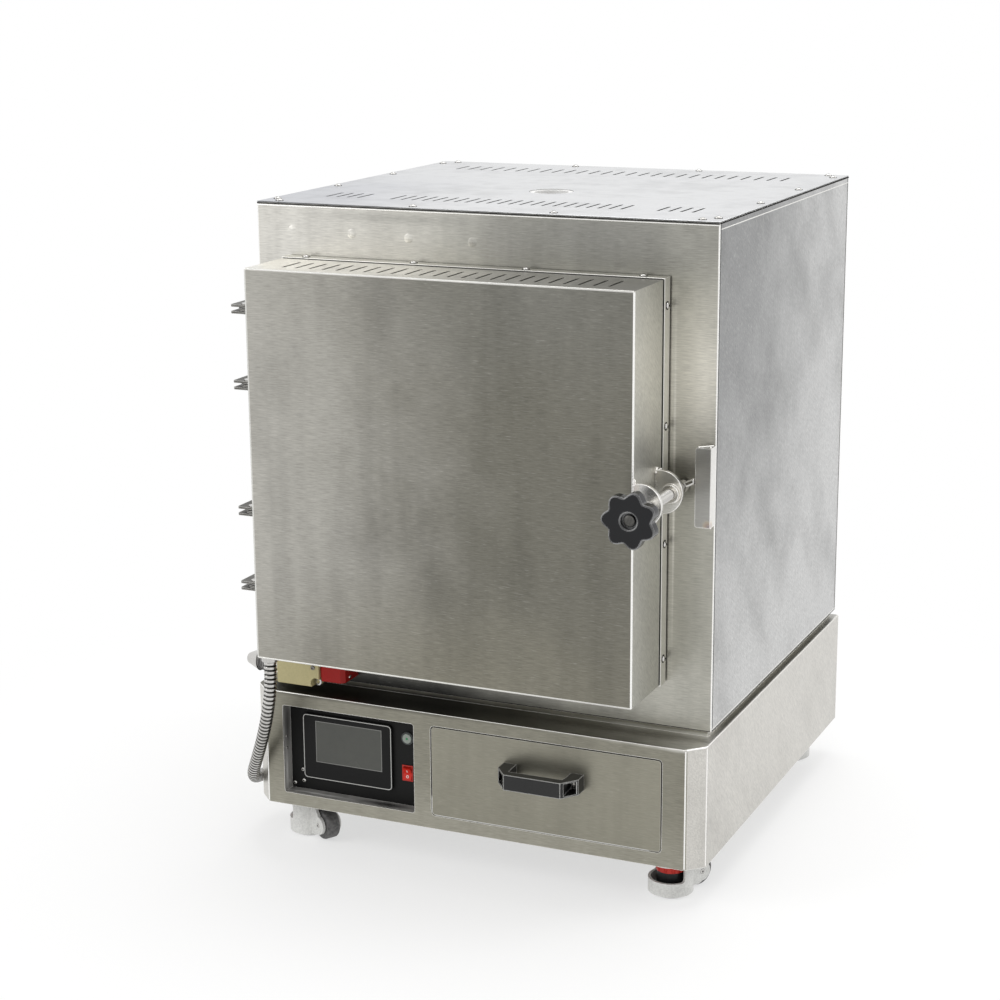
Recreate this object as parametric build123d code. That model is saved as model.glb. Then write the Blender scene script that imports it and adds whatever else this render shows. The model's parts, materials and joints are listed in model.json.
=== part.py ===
from build123d import *
import os
from math import cos, pi, radians, sin, sqrt, tan

# Burnout oven: an insulated chamber on a base with a control recess and a drawer.
# Sizes are millimetres. Working axes: X to the right, Y to the rear, Z up,
# from the lower left front corner of the upper cabinet.

# How far a cutter reaches past the face that it opens
past = 1.0

# Upper cabinet
cabinet_width = 600.0
cabinet_depth = 545.0
cabinet_height = 610.0
sheet = 1.5
wall_lip = 18.0
shell_gap = 8.0
roof_gap = 20.0
terminal_gap = 55.0

# Chamber, measured inside its fibre modules
chamber_width = 340.0
chamber_height = 340.0
chamber_depth = 380.0
hearth_thickness = 15.0
hearth_margin = 20.0

# Flue through the roof
flue_bore_radius = 22.0
flue_wall = 6.2
flue_cover_clearance = 0.3
flue_y = 225.0
flue_sunk = 1.0

# Slots in the top cover and the door
slot_width = 3.5
slot_length = 45.0
slot_pitch = 18.1
door_slots = 24
rear_slots = 27
front_slots = 22
front_slot_pitch = 14.5
side_slots = 4
front_row_inset = 95.0
rear_row_inset = 80.0
side_slot_offset = 220.0

# Pan-head screws
screw_radius = 2.0
screw_head_radius = 3.8
screw_head_height = 2.5
screw_length = 8.0
screw_head_round = 1.75
screw_clearance = 0.2
cover_screw_inset = 12.0
cover_screw_corner = 25.0
cover_screw_first = 30.0
cover_screw_last = 35.0
rear_screw_end = 40.0
screws_in_row = 4
door_screw_end_x = 27.75
door_screw_end_z = 30.9

# Base
base_side_overhang = 5.0
base_front_overhang = 47.0
base_rear_overhang = 4.0
base_height = 153.5
base_sheet = 2.0
base_corner = 21.0
plinth_height = 8.5
plinth_inset = 6.0
base_floor_drop = 128.0
floor_clearance = 2.5

# Control recess
recess_left = 40.0
recess_right = 226.0
recess_bottom = -145.0
recess_top = -27.0
recess_depth = 20.0
panel_thickness = 2.5
screen_left = 59.5
screen_width = 128.0
screen_height = 88.0
screen_bottom = -128.0
screen_corner = 6.0
bezel_depth = 4.0
display_width = 95.0
display_height = 56.0
display_x = 125.5
display_z = -76.4
display_sink = 0.6
screen_body_margin = 5.0
screen_body_depth = 30.0
cutout_clearance = 0.4

# Rocker switch
rocker_x = 207.7
rocker_z = -101.5
rocker_frame_width = 15.0
rocker_frame_height = 21.0
rocker_frame_depth = 1.2
rocker_body_width = 14.2
rocker_body_height = 20.0
rocker_body_depth = 20.0
rocker_well_width = 11.6
rocker_well_height = 17.6
rocker_side_clearance = 0.2
rocker_half_height = 7.8
rocker_ridge = 3.5
rocker_tip = 6.5
rocker_back = 1.0
rocker_pivot_depth = 4.0
rocker_pin_radius = 1.5
rocker_pin_clearance = 0.05
rocker_pin_reach = 0.8
rocker_rest_angle = 8.0

# Start button
button_x = 208.6
button_z = -54.5
button_radius = 6.3
button_clearance = 0.08
button_ring_radius = 8.3
button_sleeve_radius = 7.6
button_ring_height = 2.5
button_proud = 1.2
button_length = 12.0
button_travel = 2.5
button_round = 0.8
button_end_gap = 0.5
button_floor = 2.0

# Power electronics on the base floor: each size is width, depth and height
electronics_x = 135.0
electronics_y = 160.0
electronics_plate = (150.0, 180.0, 2.0)
heat_sink = (130.0, 60.0, 10.0)
heat_sink_y = 115.0
relay = (52.0, 54.0, 58.0)
relay_spacing = 65.0
power_supply = (120.0, 70.0, 43.0)
power_supply_y = 205.0

# Drawer
drawer_left_gap = 25.0
drawer_right_margin = 46.0
drawer_bottom = -143.0
drawer_top = -27.0
drawer_gap = 1.5
drawer_corner = 4.0
drawer_front_depth = 14.0
drawer_front_sheet = 1.5
drawer_sheet = 1.2
drawer_box_length = 280.0
drawer_box_inset = 14.0
drawer_box_floor = 6.0
drawer_box_top = -42.0
runner_wall = 1.5
runner_height = 25.0
runner_width = 12.0
runner_lip = 11.0
runner_lift = 33.0
runner_foot = 12.0
runner_length = 255.0
slide_clearance = 0.4
runner_side_gap = 1.0

# Drawer handle
handle_z = -69.0
handle_height = 20.0
handle_half_length = 53.0
handle_half_grip = 37.0
handle_reach = 38.0
handle_leg_reach = 18.0
handle_leg = 17.0
handle_grip = 12.0
handle_wall = 2.0
handle_foot = 5.0
handle_screw_radius = 2.5
handle_screw_head = 4.25
handle_screw_head_height = 5.0

# Door
door_left = 46.0
door_right_margin = 59.0
door_bottom = 58.0
door_top_margin = 66.0
door_front = 115.0
door_gap = 3.0
door_rim_depth = 18.0
door_edge = 2.5
door_slot_inset = 45.0
door_insulation_depth = 66.0
door_insulation_gap = 7.0
plug_clearance = 6.0
plug_depth = 35.0
plug_taper = 8.0
seal_width = 14.0
seal_margin = 6.0
seal_clearance = 0.3

# Hinges on the left side
hinge_x = -14.0
hinge_y = -12.0
hinge_top_drop = 62.0
hinge_second_drop = 158.5
hinge_third_rise = 164.0
hinge_low_rise = 65.0
hinge_plate = 3.0
hinge_plate_reach = 32.0
hinge_plate_front = 20.0
hinge_plate_rear = 25.0
hinge_slot = 5.5
hinge_pin_radius = 4.0
hinge_pin_clearance = 0.05
hinge_pin_head = 5.5
hinge_pin_head_height = 1.5
hinge_pin_tail = 1.0
hinge_plate_corner = 3.0
hinge_arm = 3.0
hinge_arm_half_width = 9.0

# Clamp on the right side of the door
clamp_inset = 39.0
clamp_radius = 6.0
clamp_clearance = 0.06
lug_radius = 26.0
lug_centre_inset = 12.0
lug_plate = 6.0
lug_far = 44.0
lug_boss_radius = 11.0
lug_boss_length = 6.0
knob_radius = 33.0
knob_lobes = 7
knob_lobe_depth = 3.4
knob_thickness = 15.0
knob_front = 183.0
knob_hub_radius = 13.0
knob_hub_length = 9.0
knob_recess_radius = 9.5
knob_recess_depth = 6.0
bolt_end_sunk = 3.0
arm_hub_radius = 8.0
arm_hub_front = 16.0
arm_hub_rear = 5.0
arm_radius = 4.0
arm_y = -10.5
arm_reach = 21.5
arm_rest_angle = 27.0

# Keeper on the cabinet front
keeper_width = 19.0
keeper_below = 45.0
keeper_above = 50.0
keeper_stand = 18.0
keeper_plate = 3.0
keeper_corner = 3.0

# Interlock switch under the door
switch_left = 31.0
switch_length = 60.0
switch_depth = 42.0
switch_bottom = 1.5
switch_height = 40.0
switch_edge = 2.0
switch_notch_radius = 7.0
switch_notch_inset = 4.8
switch_notch_depth = 21.0
switch_screw_radius = 4.5
switch_screw_sunk = 8.4
head_gap = 3.0
head_length = 32.0
head_depth = 40.0
head_bottom = 10.0
head_chamfer = 5.0
key_slot_inset = 18.0
key_slot_width = 8.0
key_slot_depth = 7.0
key_slot_rear = 13.0
key_slot_room = 5.0
key_thickness = 2.0
key_front = 36.0
key_rear = 16.0
key_clearance = 1.0
key_foot_front = 80.0
key_foot_left = 104.0
key_foot_right = 136.0
key_bolt_x = 127.0
key_bolt_y = -68.0
key_bolt_radius = 6.0
key_bolt_height = 3.5
key_bolt_round = 2.8

# Cable glands and the ribbed conduit
gland_y = -21.0
gland_z = 21.0
gland_radius = 12.0
gland_body_end = -4.0
gland_rib = 1.2
gland_ribs = 5
gland_nut_radius = 14.5
gland_tip_radius = 6.0
gland_tip = -23.0
gland_tip_round = 4.2
conduit_radius = 8.0
conduit_groove = 1.1
conduit_bore = 5.6
conduit_pitch = 5.7
conduit_exit_x = 9.0
conduit_exit_y = 15.0
conduit_exit_drop = 7.0
conduit_entry_x = 14.0
conduit_entry_y = 24.0
conduit_entry_rise = 15.0
conduit_turns = [
    (0.0, 0.0, 32.0),
    (7.0, 2.5, 69.0),
    (22.0, 14.0, 108.0),
    (42.0, 31.4, 145.3),
    (64.0, 53.4, 181.3),
    (74.0, 86.0, 198.0),
]
door_gland_radius = 10.5
door_gland_thread = 7.0
door_gland_inside = 8.0
elbow_radius = 11.0
elbow_length = 24.0
elbow_neck_radius = 9.0
elbow_bore_depth = 12.0
mains_x = 90.0
mains_z = -95.0
mains_bore = 5.0
mains_thread = 8.0
mains_nut = 12.0
mains_reach = 16.0
mains_inside = 9.0
mains_round = 4.0

# Levelling casters
caster_height = 84.0
floor_drop = 214.0
caster_inset_x = 49.6
caster_front_inset = 50.0
caster_rear_inset = 41.0
caster_turns = {"front_left": -30.0, "front_right": 59.0, "back_left": 205.0, "back_right": 150.0}
caster_plate_size = 48.0
caster_plate_thickness = 3.0
caster_bolt_spacing = 38.0
caster_bolt_radius = 2.75
spigot_radius = 10.0
spigot_clearance = 0.05
spigot_length = 9.0
spigot_end_gap = 0.3
spigot_collar = 16.0
spigot_collar_height = 1.0
bell_radius = 28.0
bell_wall = 3.5
bell_bottom = 2.5
bell_roof = 46.0
bell_roof_thickness = 4.0
neck_top_radius = 18.0
pad_radius = 23.0
pad_height = 4.0
pad_round = 1.2
column_radius = 17.5
column_top = 30.0
dial_height = 9.0
dial_radius = 18.5
dial_lobes = 12
dial_notch_radius = 2.2
dial_notch_out = 0.6
stem_radius = 5.0
stem_clearance = 0.06
stem_top = 62.0
window_bottom = 20.0
window_top = 41.0
window_corner = 5.0
wheel_radius = 19.5
wheel_offset = 39.0
wheel_lift = 0.8
wheel_width = 18.0
wheel_edge = 3.0
wheel_room = 1.5
axle_radius = 3.5
axle_clearance = 0.06
fork_gap = 1.0
fork_plate = 4.0
fork_nose = 12.0
fork_lift = 3.0
fork_root = 2.0

# Heating elements and thermocouple
element_radius = 3.5
element_runs = 6
element_pitch = 52.0
element_front_gap = 20.0
element_rear_gap = 35.0
element_wall_gap = 2.0
element_bore_clearance = 0.2
element_bend = 24.0
terminal_reach = 14.0
terminal_cap_radius = 7.0
probe_radius = 4.0
probe_reach = 60.0
probe_drop = 70.0
probe_head_radius = 16.0
probe_head_length = 22.0
probe_clearance = 0.3

# Overall place of the part: the origin is under the middle of its outer box
left_reach = -hinge_plate_reach
right_reach = cabinet_width - caster_inset_x + wheel_offset + wheel_radius
front_reach = -knob_front
rear_reach = cabinet_depth + base_rear_overhang + mains_reach
origin = Vector((left_reach + right_reach) / 2, (front_reach + rear_reach) / 2, -floor_drop)

# Places worked out from the sizes above
door_right = cabinet_width - door_right_margin
door_top = cabinet_height - door_top_margin
door_middle = (door_left + door_right) / 2
door_mid_z = (door_bottom + door_top) / 2
chamber_left = door_middle - chamber_width / 2
chamber_right = door_middle + chamber_width / 2
chamber_floor = door_mid_z - chamber_height / 2
chamber_roof = door_mid_z + chamber_height / 2
insulation_left_x = sheet + shell_gap
insulation_right_x = cabinet_width - sheet - shell_gap
insulation_rear_y = cabinet_depth - terminal_gap
insulation_top_z = cabinet_height - 2 * sheet - roof_gap
base_top = -plinth_height
base_bottom = base_top - base_height
base_front = -base_front_overhang
base_rear = cabinet_depth + base_rear_overhang
flue_x = cabinet_width / 2
front_row_y = front_row_inset
rear_row_y = cabinet_depth - rear_row_inset
cover_screw_pitch = (cabinet_depth - cover_screw_first - cover_screw_last) / (screws_in_row - 1)
door_screw_pitch_x = (door_right - door_left - 2 * door_screw_end_x) / (screws_in_row - 1)
door_screw_pitch_z = (door_top - door_bottom - 2 * door_screw_end_z) / (screws_in_row - 1)
door_slot_y = door_slot_inset - door_front
hinge_levels = (
    door_top - hinge_top_drop,
    door_top - hinge_second_drop,
    door_bottom + hinge_third_rise,
    door_bottom + hinge_low_rise,
)
clamp_x = cabinet_width - clamp_inset
clamp_z = door_mid_z
lug_centre_x = clamp_x - lug_centre_inset
keeper_bottom = clamp_z - keeper_below
keeper_top = clamp_z + keeper_above
caster_front_y = base_front + caster_front_inset
caster_rear_y = base_rear - caster_rear_inset
conduit_exit = Vector(
    door_left + conduit_exit_x, conduit_exit_y - door_front, door_bottom - conduit_exit_drop
)
conduit_entry = Vector(
    -base_side_overhang - conduit_entry_x, conduit_entry_y, base_bottom + conduit_entry_rise
)
conduit_corners = [conduit_exit + Vector(-x, y, -z) for x, y, z in conduit_turns]
element_front = plug_depth + element_front_gap
element_rear = chamber_depth - element_rear_gap
probe_z = chamber_roof - probe_drop
key_slot_left = switch_left + switch_length + head_gap + key_slot_inset
key_x = key_slot_left + key_slot_room
panel_y = base_front + recess_depth
panel_rear = panel_y + panel_thickness
drawer_left = recess_right + drawer_left_gap
drawer_right = cabinet_width - drawer_right_margin
drawer_middle = (drawer_left + drawer_right) / 2


def span(x, y, z):
    """A block between two limits on each axis."""
    middle = Pos((x[0] + x[1]) / 2, (y[0] + y[1]) / 2, (z[0] + z[1]) / 2)
    return middle * Box(x[1] - x[0], y[1] - y[0], z[1] - z[0])


def rod_x(x, y, z, radius):
    """A cylinder along X between the two limits x."""
    return Pos((x[0] + x[1]) / 2, y, z) * Rot(0, 90, 0) * Cylinder(radius, x[1] - x[0])


def rod_y(x, y, z, radius):
    """A cylinder along Y between the two limits y."""
    return Pos(x, (y[0] + y[1]) / 2, z) * Rot(90, 0, 0) * Cylinder(radius, y[1] - y[0])


def rod_z(x, y, z, radius):
    """A cylinder along Z between the two limits z."""
    return Pos(x, y, (z[0] + z[1]) / 2) * Cylinder(radius, z[1] - z[0])


def group(solids):
    """Separate solids that share one node."""
    return Compound(children=[solid for shape in solids for solid in shape.solids()])


def save(name, shape):
    """Write one node in the frame whose origin is under the middle of the part."""
    export_step(Pos(-origin.X, -origin.Y, -origin.Z) * shape, f"parts/{name}.step")


def screw():
    """A pan-head screw that stands on z = 0 with its shank below."""
    head = rod_z(0, 0, (0, screw_head_height), screw_head_radius)
    head = fillet(head.edges().sort_by(Axis.Z)[-1], screw_head_round)
    return head + rod_z(0, 0, (-screw_length, 0), screw_radius)


def screw_hole(length):
    """The clearance hole of a screw, through a thickness on both sides of z = 0."""
    return rod_z(0, 0, (-length, length), screw_radius + screw_clearance)


def cover_screw_places():
    """Screws around the top cover: four along each side, front and rear."""
    inset = cover_screw_inset
    ys = [cover_screw_first + cover_screw_pitch * i for i in range(screws_in_row)]
    step = (cabinet_width - 2 * cover_screw_corner) / (screws_in_row - 1)
    xs = [cover_screw_corner + step * i for i in range(screws_in_row)]
    sides = [(x, y) for x in (inset, cabinet_width - inset) for y in ys]
    ends = [(x, y) for y in (inset, cabinet_depth - inset) for x in xs]
    return sides + ends


def slot_row(middle_x, middle_y, count, pitch):
    """Cutters for a row of vent slots that run along Y."""
    places = [middle_x + pitch * (i - (count - 1) / 2) for i in range(count)]
    return [Pos(x, middle_y) * SlotOverall(slot_length, slot_width, rotation=90) for x in places]


def top_cover():
    """The roof sheet with its flue hole, vent slots and screw holes."""
    outline = Pos(cabinet_width / 2, cabinet_depth / 2) * Rectangle(cabinet_width, cabinet_depth)
    middle = cabinet_width / 2
    holes = slot_row(middle, rear_row_y, rear_slots, slot_pitch)
    holes += slot_row(middle, front_row_y, front_slots, front_slot_pitch)
    for side in (-1, 1):
        holes += slot_row(middle + side * side_slot_offset, front_row_y, side_slots, front_slot_pitch)
    holes.append(Pos(flue_x, flue_y) * Circle(flue_bore_radius + flue_wall + flue_cover_clearance))
    holes += [Pos(x, y) * Circle(screw_radius + screw_clearance) for x, y in cover_screw_places()]
    return Pos(0, 0, cabinet_height - sheet) * extrude(outline - holes, sheet)


def cabinet_wall(outer, inner):
    """A side wall from its outer face to its inner face, with a lip for the top cover."""
    inward = 1 if inner > outer else -1
    lip_edge = outer + inward * wall_lip
    top = cabinet_height - sheet
    depth = (sheet, cabinet_depth - sheet)
    wall = span(sorted((outer, inner)), depth, (0, top))
    lip = span(sorted((outer, lip_edge)), depth, (top - sheet, top))
    rear = span(sorted((outer, lip_edge)), (depth[1] - sheet, depth[1]), (0, top))
    return wall + lip + rear


def drill_cover_screws(shape):
    """Open the top cover's screw holes in a wall's lip."""
    top = cabinet_height - sheet
    for x, y in cover_screw_places():
        shape -= Pos(x, y, top) * screw_hole(2 * sheet)
    return shape


def rear_screw_places():
    """Screws down both sides of the rear cover."""
    step = (cabinet_height - 2 * rear_screw_end) / (screws_in_row - 1)
    zs = [rear_screw_end + step * i for i in range(screws_in_row)]
    return [(x, z) for x in (cover_screw_inset, cabinet_width - cover_screw_inset) for z in zs]


def drill_rear_screws(shape):
    """Open the rear cover's screw holes."""
    through = (cabinet_depth - 4 * sheet, cabinet_depth + sheet)
    for x, z in rear_screw_places():
        shape -= rod_y(x, through, z, screw_radius + screw_clearance)
    return shape


def cabinet_front():
    """The front sheet with the chamber mouth."""
    top = cabinet_height - sheet
    panel = span((0, cabinet_width), (0, sheet), (0, top))
    panel = fillet(panel.edges().filter_by(Axis.Z).sort_by(Axis.Y)[:2], sheet * 0.8)
    lip = span((wall_lip, cabinet_width - wall_lip), (0, wall_lip), (top - sheet, top))
    mouth = span((chamber_left, chamber_right), (-sheet, 2 * sheet), (chamber_floor, chamber_roof))
    return drill_cover_screws(panel + lip - mouth)


def rear_cover():
    """The removable rear sheet with two rows of vent slots."""
    top = cabinet_height - sheet
    rear = cabinet_depth
    panel = span((0, cabinet_width), (rear - sheet, rear), (0, top))
    lip = span((wall_lip, cabinet_width - wall_lip), (rear - wall_lip, rear), (top - sheet, top))
    rows = []
    for z in (chamber_floor, chamber_roof):
        cutters = slot_row(cabinet_width / 2, z, front_slots, slot_pitch)
        rows += [Pos(0, cabinet_depth + sheet, 0) * Rot(90, 0, 0) * extrude(s, 4 * sheet) for s in cutters]
    return drill_rear_screws(drill_cover_screws(panel + lip)) - rows


def cover_screws():
    """Every screw of the top cover and the rear cover."""
    top = [Pos(x, y, cabinet_height) * screw() for x, y in cover_screw_places()]
    rear = [Pos(x, cabinet_depth, z) * Rot(-90, 0, 0) * screw() for x, z in rear_screw_places()]
    return group(top + rear)


def rear_bores(shape):
    """Bores for the element ends and the thermocouple, through the rear module."""
    length = (chamber_depth - past, insulation_rear_y + past)
    for x, z in terminal_places():
        shape -= rod_y(x, length, z, element_radius + element_bore_clearance)
    return shape - rod_y(door_middle, length, probe_z, probe_radius + probe_clearance)


def insulation():
    """Five fibre modules around the chamber."""
    wide = (insulation_left_x, insulation_right_x)
    deep = (sheet, insulation_rear_y)
    tall = (chamber_floor, chamber_roof)
    roof = span(wide, deep, (chamber_roof, insulation_top_z))
    through = (chamber_roof - past, insulation_top_z + past)
    save("insulation_floor", span(wide, deep, (0, chamber_floor)))
    save("insulation_roof", roof - rod_z(flue_x, flue_y, through, flue_bore_radius + flue_wall))
    save("insulation_sides", group([span((wide[0], chamber_left), deep, tall),
                                    span((chamber_right, wide[1]), deep, tall)]))
    save("insulation_rear", rear_bores(span((chamber_left, chamber_right), (chamber_depth, deep[1]), tall)))


def element_line(side):
    """X of the heating element's axis beside a side wall, -1 for left and 1 for right."""
    wall = chamber_left if side < 0 else chamber_right
    return wall - side * (element_radius + element_wall_gap)


def element_levels():
    """Z of each straight run of a heating element."""
    low = door_mid_z - element_pitch * (element_runs - 1) / 2
    return [low + element_pitch * i for i in range(element_runs)]


def terminal_places():
    """Where the element ends pass through the rear module."""
    levels = element_levels()
    return [(element_line(side), z) for side in (-1, 1) for z in (levels[0], levels[-1])]


def heating_element(side):
    """One rod that runs to and fro along a side wall, with both ends through the rear."""
    x = element_line(side)
    levels = element_levels()
    end = insulation_rear_y + terminal_reach
    points = [(x, end, levels[0])]
    for i, z in enumerate(levels):
        near, far = (element_rear, element_front) if i % 2 == 0 else (element_front, element_rear)
        if i > 0:
            points.append((x, near, z))
        if i < len(levels) - 1:
            points.append((x, far, z))
    points.append((x, end, levels[-1]))
    path = FilletPolyline(*points, radius=element_bend)
    start = Plane(origin=path @ 0, z_dir=path % 0)
    bar = sweep(start * Circle(element_radius), path=path)
    caps = [rod_y(x, (end, end + terminal_reach), z, terminal_cap_radius) for z in (levels[0], levels[-1])]
    return bar + caps


def thermocouple():
    """The temperature probe with its connection head behind the rear module."""
    tip = chamber_depth - probe_reach
    head = insulation_rear_y + probe_head_length
    stem = rod_y(door_middle, (tip, head), probe_z, probe_radius)
    return stem + rod_y(door_middle, (insulation_rear_y, head), probe_z, probe_head_radius)


def flue_tube():
    """The ceramic tube from the chamber roof to the top cover."""
    ends = (chamber_roof, cabinet_height - flue_sunk)
    outer = rod_z(flue_x, flue_y, ends, flue_bore_radius + flue_wall)
    return outer - rod_z(flue_x, flue_y, (ends[0] - past, ends[1] + past), flue_bore_radius)


def hearth_plate():
    """The loose plate on the chamber floor."""
    x = (chamber_left + hearth_margin, chamber_right - hearth_margin)
    y = (plug_depth + hearth_margin, chamber_depth - hearth_margin)
    return span(x, y, (chamber_floor, chamber_floor + hearth_thickness))


def base_outline(inset):
    """The base's plan with its cut front corners, moved in by an inset."""
    x = (inset - base_side_overhang, cabinet_width + base_side_overhang - inset)
    y = (base_front + inset, base_rear - inset)
    cut = base_corner - inset * (2 - sqrt(2))
    corners = [
        (x[0], y[0] + cut), (x[0] + cut, y[0]), (x[1] - cut, y[0]),
        (x[1], y[0] + cut), (x[1], y[1]), (x[0], y[1]),
    ]
    return make_face(Polyline(*corners, close=True))


def base_walls():
    """The skirt: its front, its cut corners, its sides and its rear, each a flat sheet."""
    t = base_sheet
    x = (-base_side_overhang, cabinet_width + base_side_overhang)
    folds = (x[0] + base_corner, x[1] - base_corner)
    fold_y = base_front + base_corner
    ring = base_outline(0) - base_outline(t)
    skirt = Pos(0, 0, base_bottom) * extrude(ring, base_top - t - base_bottom)
    z = (base_bottom - past, base_top)
    front = skirt & span(folds, (base_front - past, fold_y), z)
    cuts = [
        ((x[0] - past, folds[0]), (base_front - past, fold_y)),
        ((folds[1], x[1] + past), (base_front - past, fold_y)),
        ((x[0] - past, folds[0]), (fold_y, base_rear - t)),
        ((folds[1], x[1] + past), (fold_y, base_rear - t)),
        ((x[0] - past, x[1] + past), (base_rear - t, base_rear + past)),
    ]
    return front, [skirt & span(across, along, z) for across, along in cuts]


def base_deck():
    """The base's top sheet with the raised plinth of the cabinet."""
    t = base_sheet
    i, j = plinth_inset, plinth_inset + t
    deck = Pos(0, 0, base_top - t) * extrude(base_outline(0), t)
    plinth = span((i, cabinet_width - i), (i, cabinet_depth - i), (base_top - t, 0))
    return deck + plinth - span((j, cabinet_width - j), (j, cabinet_depth - j), (base_top - 2 * t, -t))


def base():
    """Write the base's front sheet and the rest of its shell."""
    front, others = base_walls()
    reach = (base_front - base_sheet, base_front + 2 * base_sheet)
    front -= span((recess_left, recess_right), reach, (recess_bottom, recess_top))
    save("base_front", front - drawer_opening())
    reach = (base_rear - 2 * base_sheet, base_rear + past)
    others[-1] -= rod_y(mains_x, reach, mains_z, mains_thread + screw_clearance)
    save("base_shell", group([*others, base_deck()]))


def drawer_opening():
    """The cutter of the drawer opening, with rounded corners."""
    g = drawer_gap
    x = (drawer_left - g, drawer_right + g)
    z = (drawer_bottom - g, drawer_top + g)
    cutter = span(x, (base_front - base_sheet, base_front + 2 * base_sheet), z)
    return fillet(cutter.edges().filter_by(Axis.Y), drawer_corner + g)


def base_floor():
    """The plate inside the base that carries the casters, the runners and the electronics."""
    t = base_sheet
    x = (t - base_side_overhang, cabinet_width + base_side_overhang - t)
    y = (panel_rear + floor_clearance, base_rear - t)
    z = (-base_floor_drop - t, -base_floor_drop)
    plate = span(x, y, z)
    for centre in caster_centres().values():
        for dx, dy in caster_bolt_places():
            plate -= rod_z(centre[0] + dx, centre[1] + dy, (z[0] - t, z[1] + t), caster_bolt_radius)
    return plate


def control_recess():
    """The polished liner between the base front and the control panel."""
    t = sheet
    y = (base_front + base_sheet, panel_y)
    outer = span((recess_left - t, recess_right + t), y, (recess_bottom - t, recess_top + t))
    cut = (y[0] - t, y[1] + t)
    return outer - span((recess_left, recess_right), cut, (recess_bottom, recess_top))


def screen_body(extra, y):
    """The block behind the touch screen's bezel, or its cut-out."""
    m = screen_body_margin - extra
    x = (screen_left + m, screen_left + screen_width - m)
    return span(x, y, (screen_bottom + m, screen_bottom + screen_height - m))


def rocker_block(half_width, y, half_height):
    """A block round the rocker's axis, for its housing, its well and its cut-out."""
    return span((rocker_x - half_width, rocker_x + half_width), y,
                (rocker_z - half_height, rocker_z + half_height))


def control_panel():
    """The dark panel at the back of the recess, with its three cut-outs."""
    t = sheet
    cut = (panel_y - past, panel_rear + past)
    plate = span((recess_left - t, recess_right + t), (panel_y, panel_rear),
                 (recess_bottom - t, recess_top + t))
    plate -= screen_body(cutout_clearance, cut)
    margin = cutout_clearance
    plate -= rocker_block(rocker_body_width / 2 + margin, cut, rocker_body_height / 2 + margin)
    return plate - rod_y(button_x, cut, button_z, button_sleeve_radius + cutout_clearance)


def touch_screen():
    """The screen unit: a bezel with round corners, a sunk display and the body behind."""
    x = (screen_left, screen_left + screen_width)
    z = (screen_bottom, screen_bottom + screen_height)
    bezel = span(x, (panel_y - bezel_depth, panel_y), z)
    bezel = fillet(bezel.edges().filter_by(Axis.Y), screen_corner)
    display = span(
        (display_x - display_width / 2, display_x + display_width / 2),
        (panel_y - bezel_depth - past, panel_y - bezel_depth + display_sink),
        (display_z - display_height / 2, display_z + display_height / 2),
    )
    return bezel - display + screen_body(0, (panel_y, panel_y + screen_body_depth))


def switch_bezels():
    """The housing of the rocker and the sleeve of the start button."""
    face = panel_y - rocker_frame_depth
    pivot_y = face + rocker_pivot_depth
    back = panel_y + rocker_body_depth
    deep = pivot_y + rocker_half_height
    frame = rocker_block(rocker_frame_width / 2, (face, panel_y), rocker_frame_height / 2)
    frame += rocker_block(rocker_body_width / 2, (panel_y, back), rocker_body_height / 2)
    frame -= rocker_block(rocker_well_width / 2, (face - past, deep), rocker_well_height / 2)
    reach = rocker_well_width / 2 + rocker_pin_reach
    bore = rocker_pin_radius + rocker_pin_clearance
    frame -= rod_x((rocker_x - reach, rocker_x + reach), pivot_y, rocker_z, bore)
    ring = rod_y(button_x, (panel_y - button_ring_height, panel_y), button_z, button_ring_radius)
    front = panel_y - button_ring_height
    end = front - button_proud + button_length + button_travel + button_end_gap
    ring += rod_y(button_x, (panel_y, end + button_floor), button_z, button_sleeve_radius)
    ring -= rod_y(button_x, (front - past, end), button_z, button_radius + button_clearance)
    return group([frame, ring])


def power_rocker():
    """The rocker with its ridge and its two trunnions, resting with its lower half pressed."""
    h = rocker_half_height
    ridge = [(-rocker_tip, h), (-rocker_ridge, 0), (-rocker_tip, -h), (rocker_back, -h), (rocker_back, h)]
    half = rocker_well_width / 2 - rocker_side_clearance
    profile = make_face(Polyline(*ridge, close=True))
    paddle = Rot(0, 90, 0) * Rot(0, 0, 90) * extrude(profile, half, both=True)
    reach = rocker_well_width / 2 + rocker_pin_reach - rocker_side_clearance
    paddle += rod_x((-reach, reach), 0, 0, rocker_pin_radius)
    pivot_y = panel_y - rocker_frame_depth + rocker_pivot_depth
    return Pos(rocker_x, pivot_y, rocker_z) * Rot(rocker_rest_angle, 0, 0) * paddle


def start_button():
    """The round push button, slightly domed."""
    front = panel_y - button_ring_height - button_proud
    button = rod_y(button_x, (front, front + button_length), button_z, button_radius)
    return fillet(button.edges().sort_by(Axis.Y)[0], button_round)


def control_electronics():
    """The two relays on their heat sink and the power supply, on one mounting plate."""
    def block(x, y, z, size):
        return Pos(x, y, z + size[2] / 2) * Box(*size)

    top = electronics_plate[2] - base_floor_drop
    unit = block(electronics_x, electronics_y, -base_floor_drop, electronics_plate)
    unit += block(electronics_x, heat_sink_y, top, heat_sink)
    for side in (-1, 1):
        unit += block(electronics_x + side * relay_spacing / 2, heat_sink_y, top + heat_sink[2], relay)
    return unit + block(electronics_x, power_supply_y, top, power_supply)


def runner_bottom():
    """Z of the underside of the runner's channel."""
    return -base_floor_drop + runner_lift


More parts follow.
